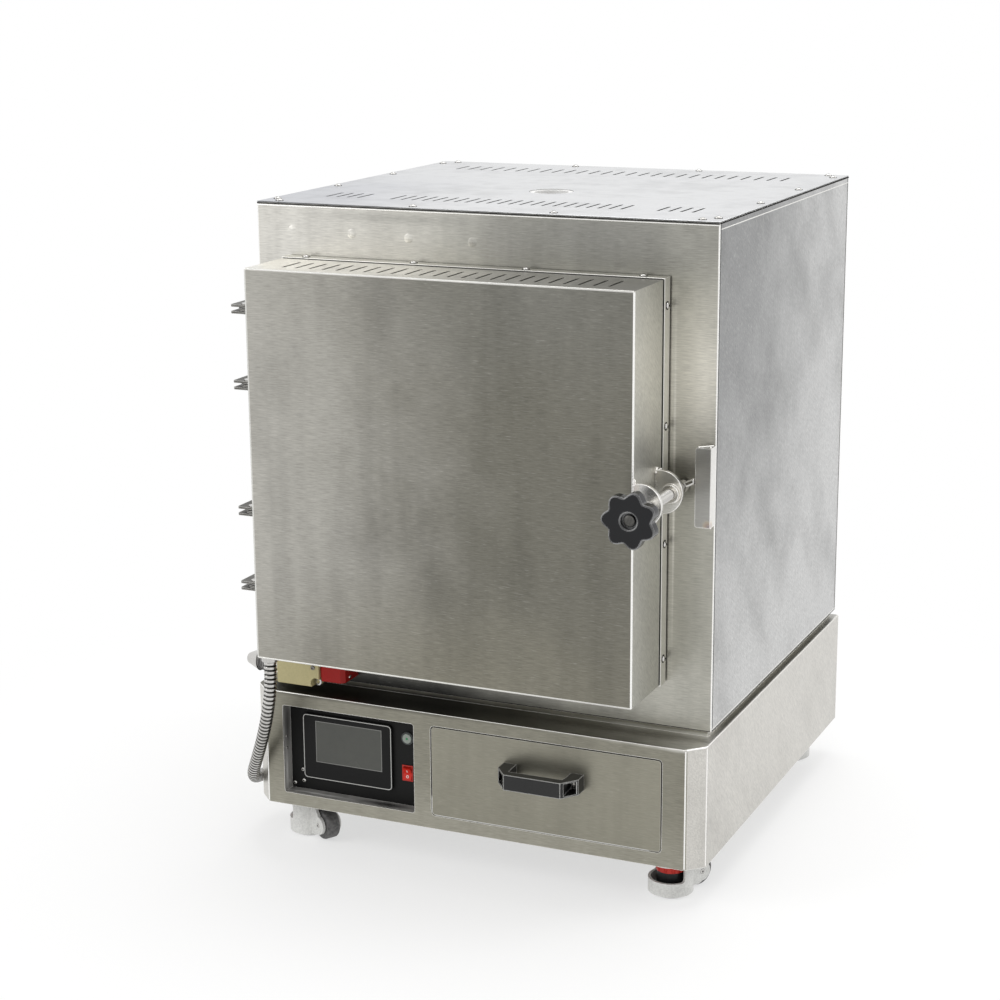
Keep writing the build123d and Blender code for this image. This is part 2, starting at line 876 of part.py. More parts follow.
def drawer_runner(side):
    """One C-shaped runner on its foot, -1 for the left and 1 for the right."""
    t = runner_wall
    box_edge = drawer_middle + side * (drawer_right - drawer_left - 2 * drawer_box_inset) / 2
    web = box_edge + side * (runner_side_gap + runner_width)
    low = runner_bottom()
    y = (panel_rear + floor_clearance, panel_rear + floor_clearance + runner_length)

    def bar(a, b, z):
        return span(sorted((a, b)), y, z)

    runner = bar(web, web + side * t, (-base_floor_drop, low + runner_height))
    runner += bar(web - side * runner_lip, web, (low, low + t))
    runner += bar(web - side * runner_lip, web, (low + runner_height - t, low + runner_height))
    return runner + bar(web, web + side * runner_foot, (-base_floor_drop, t - base_floor_drop))


def drawer_box():
    """The open drawer tray with a slide bar on each side."""
    t = drawer_sheet
    x = (drawer_left + drawer_box_inset, drawer_right - drawer_box_inset)
    y = (base_front + drawer_front_sheet, base_front + drawer_front_sheet + drawer_box_length)
    z = (drawer_box_floor - base_floor_drop, drawer_box_top)
    box = span(x, y, z) - span((x[0] + t, x[1] - t), (y[0] + t, y[1] - t), (z[0] + t, z[1] + t))
    low = runner_bottom() + runner_wall + slide_clearance
    high = runner_bottom() + runner_height - runner_wall - slide_clearance
    reach = runner_side_gap + runner_width - slide_clearance
    start = panel_rear + floor_clearance
    for edge, side in ((x[0], -1), (x[1], 1)):
        box += span(sorted((edge, edge + side * reach)), (start, y[1]), (low, high))
    return drill_handle_screws(box)


def drill_handle_screws(shape):
    """Open the handle's screw holes in the drawer front or in the box behind it."""
    depth = (base_front - past, base_front + drawer_front_depth)
    for side in (-1, 1):
        x = drawer_middle + side * (handle_half_length - handle_leg / 2)
        shape -= rod_y(x, depth, handle_z, handle_screw_radius + screw_clearance)
    return shape


def drawer_front():
    """The pan-shaped drawer front, flush with the base."""
    t = drawer_front_sheet
    y = (base_front, base_front + drawer_front_depth)
    pan = span((drawer_left, drawer_right), y, (drawer_bottom, drawer_top))
    pan = fillet(pan.edges().filter_by(Axis.Y), drawer_corner)
    inside = span((drawer_left + t, drawer_right - t), (y[0] + t, y[1] + t),
                  (drawer_bottom + t, drawer_top - t))
    return drill_handle_screws(pan - fillet(inside.edges().filter_by(Axis.Y), drawer_corner - t))


def drawer_handle():
    """The bridge handle with open pockets in its cut ends, and its two socket screws."""
    a, b = handle_half_length, handle_half_grip
    face, leg, grip = handle_reach, handle_leg_reach, handle_reach - handle_grip
    inner = a - handle_leg
    outline = [
        (-a, 0), (-a, -leg), (-b, -face), (b, -face), (a, -leg), (a, 0),
        (inner, 0), (inner, -leg + handle_wall), (b - handle_wall, -grip),
        (handle_wall - b, -grip), (-inner, -leg + handle_wall), (-inner, 0),
    ]
    plan = make_face(Polyline(*outline, close=True))
    low = handle_z - handle_height / 2
    at_front = Pos(drawer_middle, base_front, low)
    handle = at_front * extrude(plan, handle_height)
    parts = []
    for side in (-1, 1):
        w, f = handle_wall, handle_foot
        corners = [
            (a - w, -f), (a - w, -leg - w), (a + w, -face - w), (b + 2 * w, -face),
            (b + w, -grip - 2 * w), (inner + w, -leg), (inner + w, -f),
        ]
        pocket = make_face(Polyline(*[(side * x, y) for x, y in corners], close=True))
        handle -= Pos(0, 0, handle_wall) * at_front * extrude(pocket, handle_height - 2 * handle_wall)
        x = drawer_middle + side * (a - handle_leg / 2)
        seat = base_front - handle_foot
        handle -= rod_y(x, (seat - past, base_front + past), handle_z, handle_screw_radius + screw_clearance)
        bolt = rod_y(x, (seat - handle_screw_head_height, seat), handle_z, handle_screw_head)
        bolt += rod_y(x, (seat, base_front + drawer_front_depth / 2), handle_z, handle_screw_radius)
        socket = handle_screw_head_height / 2
        hexagon = Plane.XZ * RegularPolygon(handle_screw_radius, 6)
        bolt -= Pos(x, seat - socket, handle_z) * extrude(hexagon, socket + past)
        parts.append(bolt)
    return handle, group(parts)


def door_shell():
    """The folded front pan of the door with vent slots in its top."""
    t = sheet
    rear = -door_gap - t
    outer = span((door_left, door_right), (-door_front, rear), (door_bottom, door_top))
    front = outer.faces().sort_by(Axis.Y)[0]
    outer = fillet(front.edges(), door_edge)
    inner = span((door_left + t, door_right - t), (t - door_front, rear + past),
                 (door_bottom + t, door_top - t))
    shell = outer - fillet(inner.faces().sort_by(Axis.Y)[0].edges(), door_edge - t)
    slots = slot_row(door_middle, door_slot_y, door_slots, slot_pitch)
    shell -= [Pos(0, 0, door_top - 2 * t) * extrude(s, 4 * t) for s in slots]
    shell -= door_screw_cutters()
    gland = conduit_exit
    hole = door_gland_thread + screw_clearance
    return shell - rod_z(gland.X, gland.Y, (door_bottom - past, door_bottom + 2 * t), hole)


def door_screw_poses():
    """Places of the screws around the door's rim, each turned to stand on the rim."""
    t = sheet
    y = -door_gap - door_rim_depth / 2
    poses = []
    for i in range(screws_in_row):
        x = door_middle + (i - (screws_in_row - 1) / 2) * door_screw_pitch_x
        z = door_mid_z + (i - (screws_in_row - 1) / 2) * door_screw_pitch_z
        poses.append(Pos(x, y, door_top + t))
        poses.append(Pos(x, y, door_bottom - t) * Rot(180, 0, 0))
        poses.append(Pos(door_right + t, y, z) * Rot(0, 90, 0))
    return poses


def door_screw_cutters():
    """The screw holes through the rim and the pan."""
    return [pose * screw_hole(4 * sheet) for pose in door_screw_poses()]


def door_frame():
    """The rear tray of the door: a rim over the pan and a back plate round the plug."""
    t = sheet
    back = -door_gap
    rim_front = back - door_rim_depth
    rim = span((door_left - t, door_right + t), (rim_front, back), (door_bottom - t, door_top + t))
    rim -= span((door_left, door_right), (rim_front - past, back - t), (door_bottom, door_top))
    rim -= door_screw_cutters()
    half = (chamber_width / 2 - plug_clearance, chamber_height / 2 - plug_clearance)
    hole = span((door_middle - half[0], door_middle + half[0]), (back - 2 * t, back + t),
                (door_mid_z - half[1], door_mid_z + half[1]))
    return rim - hole


def door_insulation():
    """The door's fibre block with the tapered plug that enters the mouth."""
    g = door_insulation_gap
    seat = -door_gap - sheet
    block = span((door_left + g, door_right - g), (seat - door_insulation_depth, seat),
                 (door_bottom + g, door_top - g))
    wide = chamber_width - 2 * plug_clearance
    tall = chamber_height - 2 * plug_clearance
    root = Plane(origin=(door_middle, seat, door_mid_z), x_dir=(1, 0, 0), z_dir=(0, 1, 0))
    neck = extrude(root * Rectangle(wide, tall), sheet)
    start = root.offset(sheet)
    plug = loft([start * Rectangle(wide, tall),
                 start.offset(plug_depth) * Rectangle(wide - plug_taper, tall - plug_taper)])
    return block + neck + plug


def door_seal():
    """The flat rope seal between the door and the cabinet front."""
    y = (-door_gap, -seal_clearance)
    inner = (chamber_width / 2 + seal_margin, chamber_height / 2 + seal_margin)
    outer = (inner[0] + seal_width, inner[1] + seal_width)

    def ring(half, depth):
        return span((door_middle - half[0], door_middle + half[0]), depth,
                    (door_mid_z - half[1], door_mid_z + half[1]))

    band = fillet(ring(outer, y).edges().filter_by(Axis.Y), seal_width)
    return band - ring(inner, (y[0] - past, y[1] + past))


def hinge_arms():
    """Four tongues welded to the door's rim, each with a bore for its pin."""
    arms = []
    for top in hinge_levels:
        middle = top - hinge_plate - hinge_slot / 2
        z = (middle - hinge_arm / 2, middle + hinge_arm / 2)
        half = hinge_arm_half_width
        arm = span((hinge_x, door_left - sheet), (hinge_y - half, hinge_y + half), z)
        arm += rod_z(hinge_x, hinge_y, z, half)
        bore = hinge_pin_radius + hinge_pin_clearance
        arms.append(arm - rod_z(hinge_x, hinge_y, (z[0] - past, z[1] + past), bore))
    return group(arms)


def hinge_brackets():
    """Four pairs of plates welded to the cabinet's left side."""
    plates = []
    for top in hinge_levels:
        for upper in (top, top - hinge_plate - hinge_slot):
            z = (upper - hinge_plate, upper)
            plate = span((-hinge_plate_reach, 0), (-hinge_plate_front, hinge_plate_rear), z)
            plate = fillet(plate.edges().filter_by(Axis.Z).sort_by(Axis.X)[:2], hinge_plate_corner)
            plates.append(plate - rod_z(hinge_x, hinge_y, (z[0] - past, z[1] + past), hinge_pin_radius))
    return group(plates)


def hinge_pins():
    """Four headed pins through the hinge plates."""
    pins = []
    for top in hinge_levels:
        low = top - 2 * hinge_plate - hinge_slot - hinge_pin_tail
        pin = rod_z(hinge_x, hinge_y, (low, top), hinge_pin_radius)
        pins.append(pin + rod_z(hinge_x, hinge_y, (top, top + hinge_pin_head_height), hinge_pin_head))
    return group(pins)


def clamp_lugs():
    """Two D-shaped plates on the door's right side that carry the clamp bolt."""
    lugs = []
    edge = door_right
    for front in (-door_front, -lug_far):
        y = (front, front + lug_plate)
        disc = rod_y(lug_centre_x, y, clamp_z, lug_radius)
        disc &= span((edge, lug_centre_x + lug_radius), y, (clamp_z - lug_radius, clamp_z + lug_radius))
        if front == -lug_far:
            disc += rod_y(clamp_x, (front - lug_boss_length, front), clamp_z, lug_boss_radius)
        reach = (front - lug_boss_length - past, y[1] + past)
        lugs.append(disc - rod_y(clamp_x, reach, clamp_z, clamp_radius + clamp_clearance))
    return group(lugs)


def knob_outline():
    """A star outline with round lobes, from arcs through crest and valley points."""
    points = []
    for i in range(2 * knob_lobes):
        angle = pi * i / knob_lobes + pi / 2
        radius = knob_radius if i % 2 == 0 else knob_radius - 2 * knob_lobe_depth
        points.append((radius * cos(angle), radius * sin(angle)))
    return make_face(Spline(*points, periodic=True))


def clamp_knob():
    """The black star knob with its hub and a round recess in its front."""
    face = Plane(origin=(clamp_x, -knob_front, clamp_z), x_dir=(1, 0, 0), z_dir=(0, 1, 0))
    star = extrude(face * knob_outline(), knob_thickness)
    rear = -knob_front + knob_thickness
    star += rod_y(clamp_x, (rear, rear + knob_hub_length), clamp_z, knob_hub_radius)
    star -= rod_y(clamp_x, (-knob_front - past, knob_recess_depth - knob_front), clamp_z, knob_recess_radius)
    return star - rod_y(clamp_x, (-knob_front, rear + knob_hub_length + past), clamp_z, clamp_radius)


def clamp_bolt():
    """The long bolt with its hub and the radial arm that turns in behind the keeper."""
    bolt = rod_y(clamp_x, (bolt_end_sunk - knob_front, -arm_hub_front), clamp_z, clamp_radius)
    hub = rod_y(clamp_x, (-arm_hub_front, -arm_hub_rear), clamp_z, arm_hub_radius)
    arm = rod_x((0, arm_reach - arm_radius), 0, 0, arm_radius)
    arm += Pos(arm_reach - arm_radius, 0, 0) * Sphere(arm_radius)
    return bolt + hub + Pos(clamp_x, arm_y, clamp_z) * Rot(0, -arm_rest_angle, 0) * arm


def latch_keeper():
    """The bent keeper on the cabinet front, open to the left for the arm."""
    t = keeper_plate
    x = (cabinet_width - keeper_width, cabinet_width)
    z = (keeper_bottom, keeper_top)
    block = span(x, (-keeper_stand, 0), z)
    left = block.edges().filter_by(Axis.Y).sort_by(Axis.X)[:2]
    block = fillet(left, keeper_corner)
    return block - span((x[0] - t, x[1] - t), (t - keeper_stand, t), (z[0] + t, z[1] - t))


def switch_body():
    """The interlock switch's body with the notch of its fixing screw."""
    x = (switch_left, switch_left + switch_length)
    z = (switch_bottom, switch_bottom + switch_height)
    body = span(x, (-switch_depth, 0), z)
    body = fillet(body.edges().filter_by(Axis.Y), switch_edge)
    notch = (x[1] - switch_notch_inset, z[0] + switch_notch_inset)
    floor = switch_notch_depth - switch_depth
    body -= rod_y(notch[0], (-switch_depth - past, floor), notch[1], switch_notch_radius)
    return body + rod_y(notch[0], (switch_screw_sunk - switch_depth, floor), notch[1], switch_screw_radius)


def switch_head():
    """The red head with the key slot in its top, open to the front."""
    left = switch_left + switch_length
    x = (left + head_gap, left + head_gap + head_length)
    top = switch_bottom + switch_height
    head = span(x, (-head_depth, 0), (head_bottom, top))
    corner = head.edges().filter_by(Axis.Z).sort_by(Axis.Y)[:2].sort_by(Axis.X)[-1]
    head = chamfer(corner, head_chamfer)
    head -= span((key_slot_left, key_slot_left + key_slot_width), (-head_depth - past, -key_slot_rear),
                 (top - key_slot_depth, top + past))
    collar = head_bottom + head_gap
    return head + span((left, x[0]), (-head_depth + head_gap, 0), (collar, top - head_gap))


def switch_key():
    """The key under the door: a foot plate, a blade in the head's slot and its bolt."""
    top = door_bottom - sheet
    foot = span((key_foot_left, key_foot_right), (-key_foot_front, -key_rear), (top - key_thickness, top))
    low = switch_bottom + switch_height - key_slot_depth + key_clearance
    blade = span((key_x, key_x + key_thickness), (-key_front, -key_rear), (low, top))
    seat = top - key_thickness
    head = rod_z(key_bolt_x, key_bolt_y, (seat - key_bolt_height, seat), key_bolt_radius)
    head = fillet(head.edges().sort_by(Axis.Z)[0], key_bolt_round)
    return foot + blade + head


def switch_gland():
    """The ribbed sleeve and the domed nut at the switch's left end."""
    body = rod_x((gland_body_end, switch_left), gland_y, gland_z, gland_radius)
    for i in range(gland_ribs):
        x = gland_body_end + (2 * i + 1) * gland_rib
        body += rod_x((x, x + gland_rib), gland_y, gland_z, gland_radius + gland_rib)
    length = gland_body_end - gland_tip
    nut = Cone(gland_nut_radius, gland_tip_radius, length)
    nut = fillet(nut.edges().sort_by(Axis.Z)[-1], gland_tip_round)
    return body + Pos(gland_body_end - length / 2, gland_y, gland_z) * Rot(0, -90, 0) * nut


def conduit_elbow():
    """The right-angled connector of the conduit on the left of the base."""
    e = conduit_entry
    side = -base_side_overhang
    turn_y = e.Y + elbow_length - elbow_neck_radius
    body = rod_y(e.X, (e.Y, e.Y + elbow_length), e.Z, elbow_radius)
    body += rod_x((e.X, side), turn_y, e.Z, elbow_neck_radius)
    return body - rod_y(e.X, (e.Y - past, e.Y + elbow_bore_depth), e.Z, conduit_bore)


def mains_gland():
    """The mains lead's gland in the rear of the base, with its bore."""
    face = base_rear
    body = rod_y(mains_x, (face - mains_inside, face), mains_z, mains_thread)
    nut = rod_y(mains_x, (face, face + mains_reach), mains_z, mains_nut)
    nut = fillet(nut.edges().sort_by(Axis.Y)[-1], mains_round)
    reach = (face - mains_inside - past, face + mains_reach + past)
    return body + nut - rod_y(mains_x, reach, mains_z, mains_bore)


def door_gland():
    """The conduit's connector under the door."""
    e = conduit_exit
    flange = rod_z(e.X, e.Y, (e.Z, door_bottom), door_gland_radius)
    top = door_bottom + door_gland_inside
    thread = rod_z(e.X, e.Y, (door_bottom, top), door_gland_thread)
    return flange + thread - rod_z(e.X, e.Y, (e.Z - past, top + past), conduit_bore)


def conduit_path():
    """The conduit's centre line: straight runs joined by tangent arcs."""
    points = [conduit_exit, *conduit_corners, conduit_entry]
    radii = []
    for before, here, after in zip(points, points[1:], points[2:]):
        turn = (here - before).get_angle(after - here)
        run = min((here - before).length, (after - here).length)
        radii.append(0.45 * run / tan(radians(turn) / 2))
    print("conduit radii", [round(radius) for radius in radii])
    return FilletPolyline(*points, radius=radii)


def conduit():
    """The ribbed metal conduit with its bore: four circles for each rib."""
    path = conduit_path()
    ribs = int(path.length / conduit_pitch)
    crest, root = conduit_radius, conduit_radius - conduit_groove
    shares = ((0.0, root), (0.2, crest), (0.7, crest), (0.9, root))

    def section(at, radius):
        place = Plane(origin=path @ at, x_dir=(1, 0, 0), z_dir=path % at)
        return place * Circle(radius)

    stations = [((i + share) / ribs, radius) for i in range(ribs) for share, radius in shares]
    outer = loft([section(at, radius) for at, radius in stations + [(1.0, root)]], ruled=True)
    steps = 2 * ribs
    bore = loft([section(i / steps, conduit_bore) for i in range(steps + 1)], ruled=True)
    tube = outer - bore
    print("conduit ribs", ribs, "length", round(path.length), "volume", round(tube.volume))
    return tube


def caster_centres():
    """Swivel axes of the four casters."""
    left, right = caster_inset_x, cabinet_width - caster_inset_x
    return {
        "front_left": (left, caster_front_y),
        "front_right": (right, caster_front_y),
        "back_left": (left, caster_rear_y),
        "back_right": (right, caster_rear_y),
    }


def caster_bolt_places():
    """The four bolt holes of a caster's plate, from its swivel axis."""
    half = caster_bolt_spacing / 2
    return [(x, y) for x in (-half, half) for y in (-half, half)]


def caster_plate():
    """The fixed top plate with its spigot, above a floor at z = 0."""
    top = caster_height
    low = top - caster_plate_thickness
    half = caster_plate_size / 2
    plate = span((-half, half), (-half, half), (low, top))
    plate = fillet(plate.edges().filter_by(Axis.Z), caster_plate_thickness)
    for x, y in caster_bolt_places():
        plate -= rod_z(x, y, (low - past, top + past), caster_bolt_radius)
    plate += rod_z(0, 0, (low - spigot_collar_height, low), spigot_collar)
    return plate + rod_z(0, 0, (low - spigot_collar_height - spigot_length, low), spigot_radius)


def caster_housing():
    """The cast bell, open all round its rear half above a low wall, and the wheel's fork towards +X."""
    top = caster_height - caster_plate_thickness - spigot_collar_height - spigot_end_gap
    block_top = bell_roof + bell_roof_thickness
    bell = revolve(Plane.XZ * make_face(Polyline(
        (0, bell_bottom), (bell_radius, bell_bottom), (bell_radius, block_top), (neck_top_radius, top), (0, top),
        close=True)), Axis.Z)
    axle_z = wheel_radius + wheel_lift
    outer = wheel_width / 2 + fork_gap + fork_plate
    end = wheel_offset + past
    block = span((0, wheel_offset), (-outer, outer), (bell_bottom + fork_lift, block_top))
    over = ((bell_radius - fork_root, block_top + past), (end, block_top + past), (end, axle_z + fork_nose))
    under = ((bell_radius - fork_root, bell_bottom), (end, bell_bottom), (end, axle_z - fork_nose))
    for corners in (over, under):
        block -= extrude(Plane.XZ * make_face(Polyline(*corners, close=True)), outer + past, both=True)
    bell += block + rod_y(wheel_offset, (-outer, outer), axle_z, fork_nose)
    bell -= rod_z(0, 0, (bell_bottom - past, bell_roof), bell_radius - bell_wall)
    half = wheel_width / 2 + fork_gap
    room = wheel_radius + wheel_room
    well = rod_y(wheel_offset, (-half, half), axle_z, room)
    bell -= well + span((wheel_offset, wheel_offset + room), (-half, half), (0, axle_z + room))
    bell -= rod_z(0, 0, (top - spigot_length, top + past), spigot_radius + spigot_clearance)
    bell -= rod_z(0, 0, (bell_roof - past, top + past), stem_radius + stem_clearance)
    bell -= rod_y(wheel_offset, (-outer - past, outer + past), axle_z, axle_radius + axle_clearance)
    wide = bell_radius + past
    window = span((-wide, 0), (-wide, wide), (window_bottom, window_top))
    return bell - fillet(window.edges().filter_by(Axis.Y).sort_by(Axis.X)[-2:], window_corner)


def caster_wheel():
    """The wheel with its headed axle."""
    z = wheel_radius + wheel_lift
    half = wheel_width / 2
    wheel = rod_y(wheel_offset, (-half, half), z, wheel_radius)
    wheel = fillet(wheel.edges(), wheel_edge)
    outer = half + fork_gap + fork_plate
    return wheel + rod_y(wheel_offset, (-outer, outer), z, axle_radius)


def caster_foot():
    """The levelling foot: pad, column, lobed dial and threaded stem."""
    foot = rod_z(0, 0, (0, pad_height), pad_radius)
    foot = fillet(foot.edges().sort_by(Axis.Z)[-1], pad_round)
    foot += rod_z(0, 0, (pad_height, column_top), column_radius)
    foot += rod_z(0, 0, (column_top, stem_top), stem_radius)
    dial = rod_z(0, 0, (column_top, column_top + dial_height), dial_radius)
    cut = (column_top - past, column_top + dial_height + past)
    reach = dial_radius + dial_notch_out
    for i in range(dial_lobes):
        angle = 2 * pi * i / dial_lobes
        dial -= rod_z(reach * cos(angle), reach * sin(angle), cut, dial_notch_radius)
    return foot + dial


def casters():
    """Write the fixed plates and the three moving pieces of each caster."""
    plates = []
    for name, (x, y) in caster_centres().items():
        place = Pos(x, y, -floor_drop)
        plates.append(place * caster_plate())
        turned = place * Rot(0, 0, caster_turns[name])
        save(f"caster_{name}_housing", turned * caster_housing())
        save(f"caster_{name}_wheel", turned * caster_wheel())
        save(f"caster_{name}_foot", turned * caster_foot())
    save("caster_plates", group(plates))


os.makedirs("parts", exist_ok=True)

save("top_cover", top_cover())
save("cabinet_front", cabinet_front())
save("cabinet_left", drill_rear_screws(drill_cover_screws(cabinet_wall(0, sheet))))
right_wall = cabinet_wall(cabinet_width, cabinet_width - sheet)
save("cabinet_right", drill_rear_screws(drill_cover_screws(right_wall)))
save("rear_cover", rear_cover())
save("cover_screws", cover_screws())
insulation()
save("heating_elements", group([heating_element(-1), heating_element(1)]))
save("thermocouple", thermocouple())
save("hearth_plate", hearth_plate())
save("flue_tube", flue_tube())
save("hinge_brackets", hinge_brackets())
save("hinge_pins", hinge_pins())
save("latch_keeper", latch_keeper())
save("switch_body", switch_body())
save("switch_head", switch_head())
save("cable_glands", group([switch_gland(), conduit_elbow(), mains_gland()]))
save("conduit", conduit())

base()
save("base_floor", base_floor())
save("control_recess", control_recess())
save("control_panel", control_panel())
save("touch_screen", touch_screen())
save("switch_bezels", switch_bezels())
save("power_rocker", power_rocker())
save("start_button", start_button())
save("control_electronics", control_electronics())
save("drawer_runners", group([drawer_runner(-1), drawer_runner(1)]))
save("drawer_box", drawer_box())
save("drawer_front", drawer_front())
handle, handle_screws = drawer_handle()
save("drawer_handle", handle)
save("handle_screws", handle_screws)

save("door_shell", door_shell())
save("door_frame", door_frame())
save("door_insulation", door_insulation())
save("door_seal", door_seal())
save("door_screws", group([pose * screw() for pose in door_screw_poses()]))
save("door_hinge_arms", hinge_arms())
save("door_gland", door_gland())
save("switch_key", switch_key())
save("clamp_lugs", clamp_lugs())
save("clamp_knob", clamp_knob())
save("clamp_bolt", clamp_bolt())

casters()
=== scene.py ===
import json
import random
from math import cos, radians, tau

import bmesh
import bpy
from mathutils import Matrix, Vector


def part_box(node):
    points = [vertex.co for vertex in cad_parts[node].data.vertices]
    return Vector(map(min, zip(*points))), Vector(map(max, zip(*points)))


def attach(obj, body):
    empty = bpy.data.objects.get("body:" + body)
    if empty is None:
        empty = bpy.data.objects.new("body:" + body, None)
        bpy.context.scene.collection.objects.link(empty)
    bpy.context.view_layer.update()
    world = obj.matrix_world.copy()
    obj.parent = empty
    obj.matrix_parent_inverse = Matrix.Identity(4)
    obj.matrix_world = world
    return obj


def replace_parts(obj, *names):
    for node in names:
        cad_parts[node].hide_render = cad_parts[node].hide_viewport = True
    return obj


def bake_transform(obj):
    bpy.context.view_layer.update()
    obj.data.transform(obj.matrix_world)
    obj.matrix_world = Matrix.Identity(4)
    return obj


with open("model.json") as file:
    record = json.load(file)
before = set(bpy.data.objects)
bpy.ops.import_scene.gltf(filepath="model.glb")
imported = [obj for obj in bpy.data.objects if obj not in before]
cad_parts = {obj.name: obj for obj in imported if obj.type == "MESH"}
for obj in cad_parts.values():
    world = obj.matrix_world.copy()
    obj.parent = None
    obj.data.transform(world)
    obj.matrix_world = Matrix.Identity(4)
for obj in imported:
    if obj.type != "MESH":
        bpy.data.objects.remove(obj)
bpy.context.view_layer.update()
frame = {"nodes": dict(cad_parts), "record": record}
nodes = frame["nodes"]
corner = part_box("cabinet_front")[0]  # lower left front corner of the upper cabinet
scene = bpy.context.scene
mm = 0.001
print("frame loaded:", len(nodes), "nodes")


def at(x, y, z):
    # a place in millimetres from the upper cabinet's lower left front corner
    return corner + Vector((x, y, z)) * mm


def spin(angle, axis):
    return Matrix.Rotation(radians(angle), 4, axis)


shift = Matrix.Translation
frontward = spin(90, "X")  # from facing up to facing the front


def linked(name, data):
    thing = bpy.data.objects.new(name, data)
    scene.collection.objects.link(thing)
    return thing


def meshOf(bm, name):
    mesh = bpy.data.meshes.new(name)
    bm.to_mesh(mesh)
    bm.free()
    return mesh


# Camera

camera = {"place": (1381.36, -2363.7, 913.93), "turn": 24.064, "down": 14.176, "roll": -0.399, "lens": 79.09}


def makeCamera():
    data = bpy.data.cameras.new("camera")
    data.lens = camera["lens"]
    scene.camera = linked("camera", data)
    aim = spin(camera["turn"], "Z") @ spin(90 - camera["down"], "X") @ spin(camera["roll"], "Z")
    scene.camera.matrix_world = shift(at(*camera["place"])) @ aim


makeCamera()
scene.view_settings.view_transform = "Standard"
print("camera placed")


# Shader node groups

def newGroup(name, outputs, **inputs):
    # outputs and inputs: the names of the sockets of each kind
    group = bpy.data.node_groups.new(name, "ShaderNodeTree")
    for direction, sockets in (("INPUT", inputs), ("OUTPUT", outputs)):
        for kind, labels in sockets.items():
            for label in labels:
                group.interface.new_socket(label, in_out=direction, socket_type="NodeSocket" + kind)
    return group, group.nodes.new("NodeGroupInput").outputs, group.nodes.new("NodeGroupOutput")


def feed(tree, node, values):
    # link or set a node's inputs by name or index; colours are opaque
    for key, value in values.items():
        socket = node.inputs[key]
        if isinstance(value, bpy.types.NodeSocket):
            tree.links.new(value, socket)
        else:
            socket.default_value = (*value, 1) if socket.type == "RGBA" else value


def addNode(tree, kind, values=None, **settings):
    node = tree.nodes.new("ShaderNode" + kind)
    for key, setting in settings.items():
        setattr(node, key, setting)
    feed(tree, node, values or {})
    return node


def math(tree, operation, a, b=0, clamp=False):
    return addNode(tree, "Math", {0: a, 1: b}, operation=operation, use_clamp=clamp).outputs[0]


def past(tree, value, start, gain, clamp=False):
    # how far a value is past a start, times a gain
    return math(tree, "MULTIPLY", math(tree, "SUBTRACT", value, start), gain, clamp)


def vectorMath(tree, operation, a, b=(0, 0, 0)):
    return addNode(tree, "VectorMath", {0: a, 1: b}, operation=operation).outputs


def mixColor(tree, factor, a, b, blend="MIX"):
    return addNode(tree, "Mix", {0: factor, 6: a, 7: b}, data_type="RGBA", blend_type=blend).outputs[2]


def noise(tree, vector, scale, detail=3, rough=0.55):
    return addNode(tree, "TexNoise", {
        "Vector": vector, "Scale": scale, "Detail": detail, "Roughness": rough}).outputs["Fac"]


def mapRange(tree, value, source, target):
    ends = dict(enumerate([value, *source, *target]))
    return addNode(tree, "MapRange", ends, interpolation_type="SMOOTHSTEP").outputs[0]


def objectSpot(tree):
    return addNode(tree, "TexCoord").outputs["Object"]


surface = {"Color": ["Color"], "Float": ["Roughness", "Height"]}


def makeGrainGroup():
    # brushed sheet: short scratches, bright flecks and clouds; faces turned sideways have their own colour, a
    # painted difference in light and shade between the fronts and the sides
    group, given, result = newGroup("brushedGrain", surface, Color=["Base", "Side"],
                                    Float=["Smudge", "Grain", "Flecks", "Roughness"])
    place = addNode(group, "TexCoord").outputs
    facing = addNode(group, "SeparateXYZ", {0: place["Normal"]}).outputs["X"]
    sideways = math(group, "GREATER_THAN", math(group, "ABSOLUTE", facing), 0.7)
    slanted = addNode(group, "VectorRotate", {"Vector": place["Object"], "Angle": radians(-40)},
                      rotation_type="X_AXIS").outputs[0]

    def brushed(front, side):
        # the scratches' stretch along each axis, level on the front and slanted on the sides
        spots = [vectorMath(group, "MULTIPLY", spot, stretch)[0]
                 for spot, stretch in ((place["Object"], front), (slanted, side))]
        return addNode(group, "Mix", {0: sideways, 4: spots[0], 5: spots[1]}, data_type="VECTOR").outputs[1]

    fine = noise(group, brushed((60, 1000, 850), (700, 900, 110)), 1, 3, 0.7)
    dashes = noise(group, brushed((60, 900, 900), (500, 700, 80)), 1.6, 2, 0.5)
    flecks = past(group, dashes, 0.62, 5, True)
    cloud = noise(group, place["Object"], 9, 3, 0.5)
    streak = noise(group, brushed((34, 34, 3.2), (14, 13, 5)), 1, 3, 0.5)
    dirt = math(group, "ADD", past(group, cloud, 0.4, 1.9), past(group, streak, 0.5, 2.2), True)
    dirt = math(group, "MULTIPLY", dirt, given["Smudge"])
    grain = past(group, fine, 0.5, given["Grain"])
    light = math(group, "MULTIPLY", math(group, "ADD", grain, 1), math(group, "SUBTRACT", 1, dirt))
    shade = addNode(group, "CombineColor", {0: light, 1: light, 2: light}).outputs[0]
    # the Side colour paints the sides' different light and shade
    tone = mixColor(group, 1, mixColor(group, sideways, given["Base"], given["Side"]), shade, "MULTIPLY")
    bright = math(group, "MULTIPLY", flecks, given["Flecks"])
    rough = math(group, "ADD", given["Roughness"], math(group, "MULTIPLY", dirt, 0.2))
    rough = math(group, "ADD", rough, math(group, "MULTIPLY", grain, 0.12))
    color = mixColor(group, bright, tone, (0.95, 0.94, 0.9))
    feed(group, result, {"Color": color, "Roughness": rough, "Height": fine})
    return group


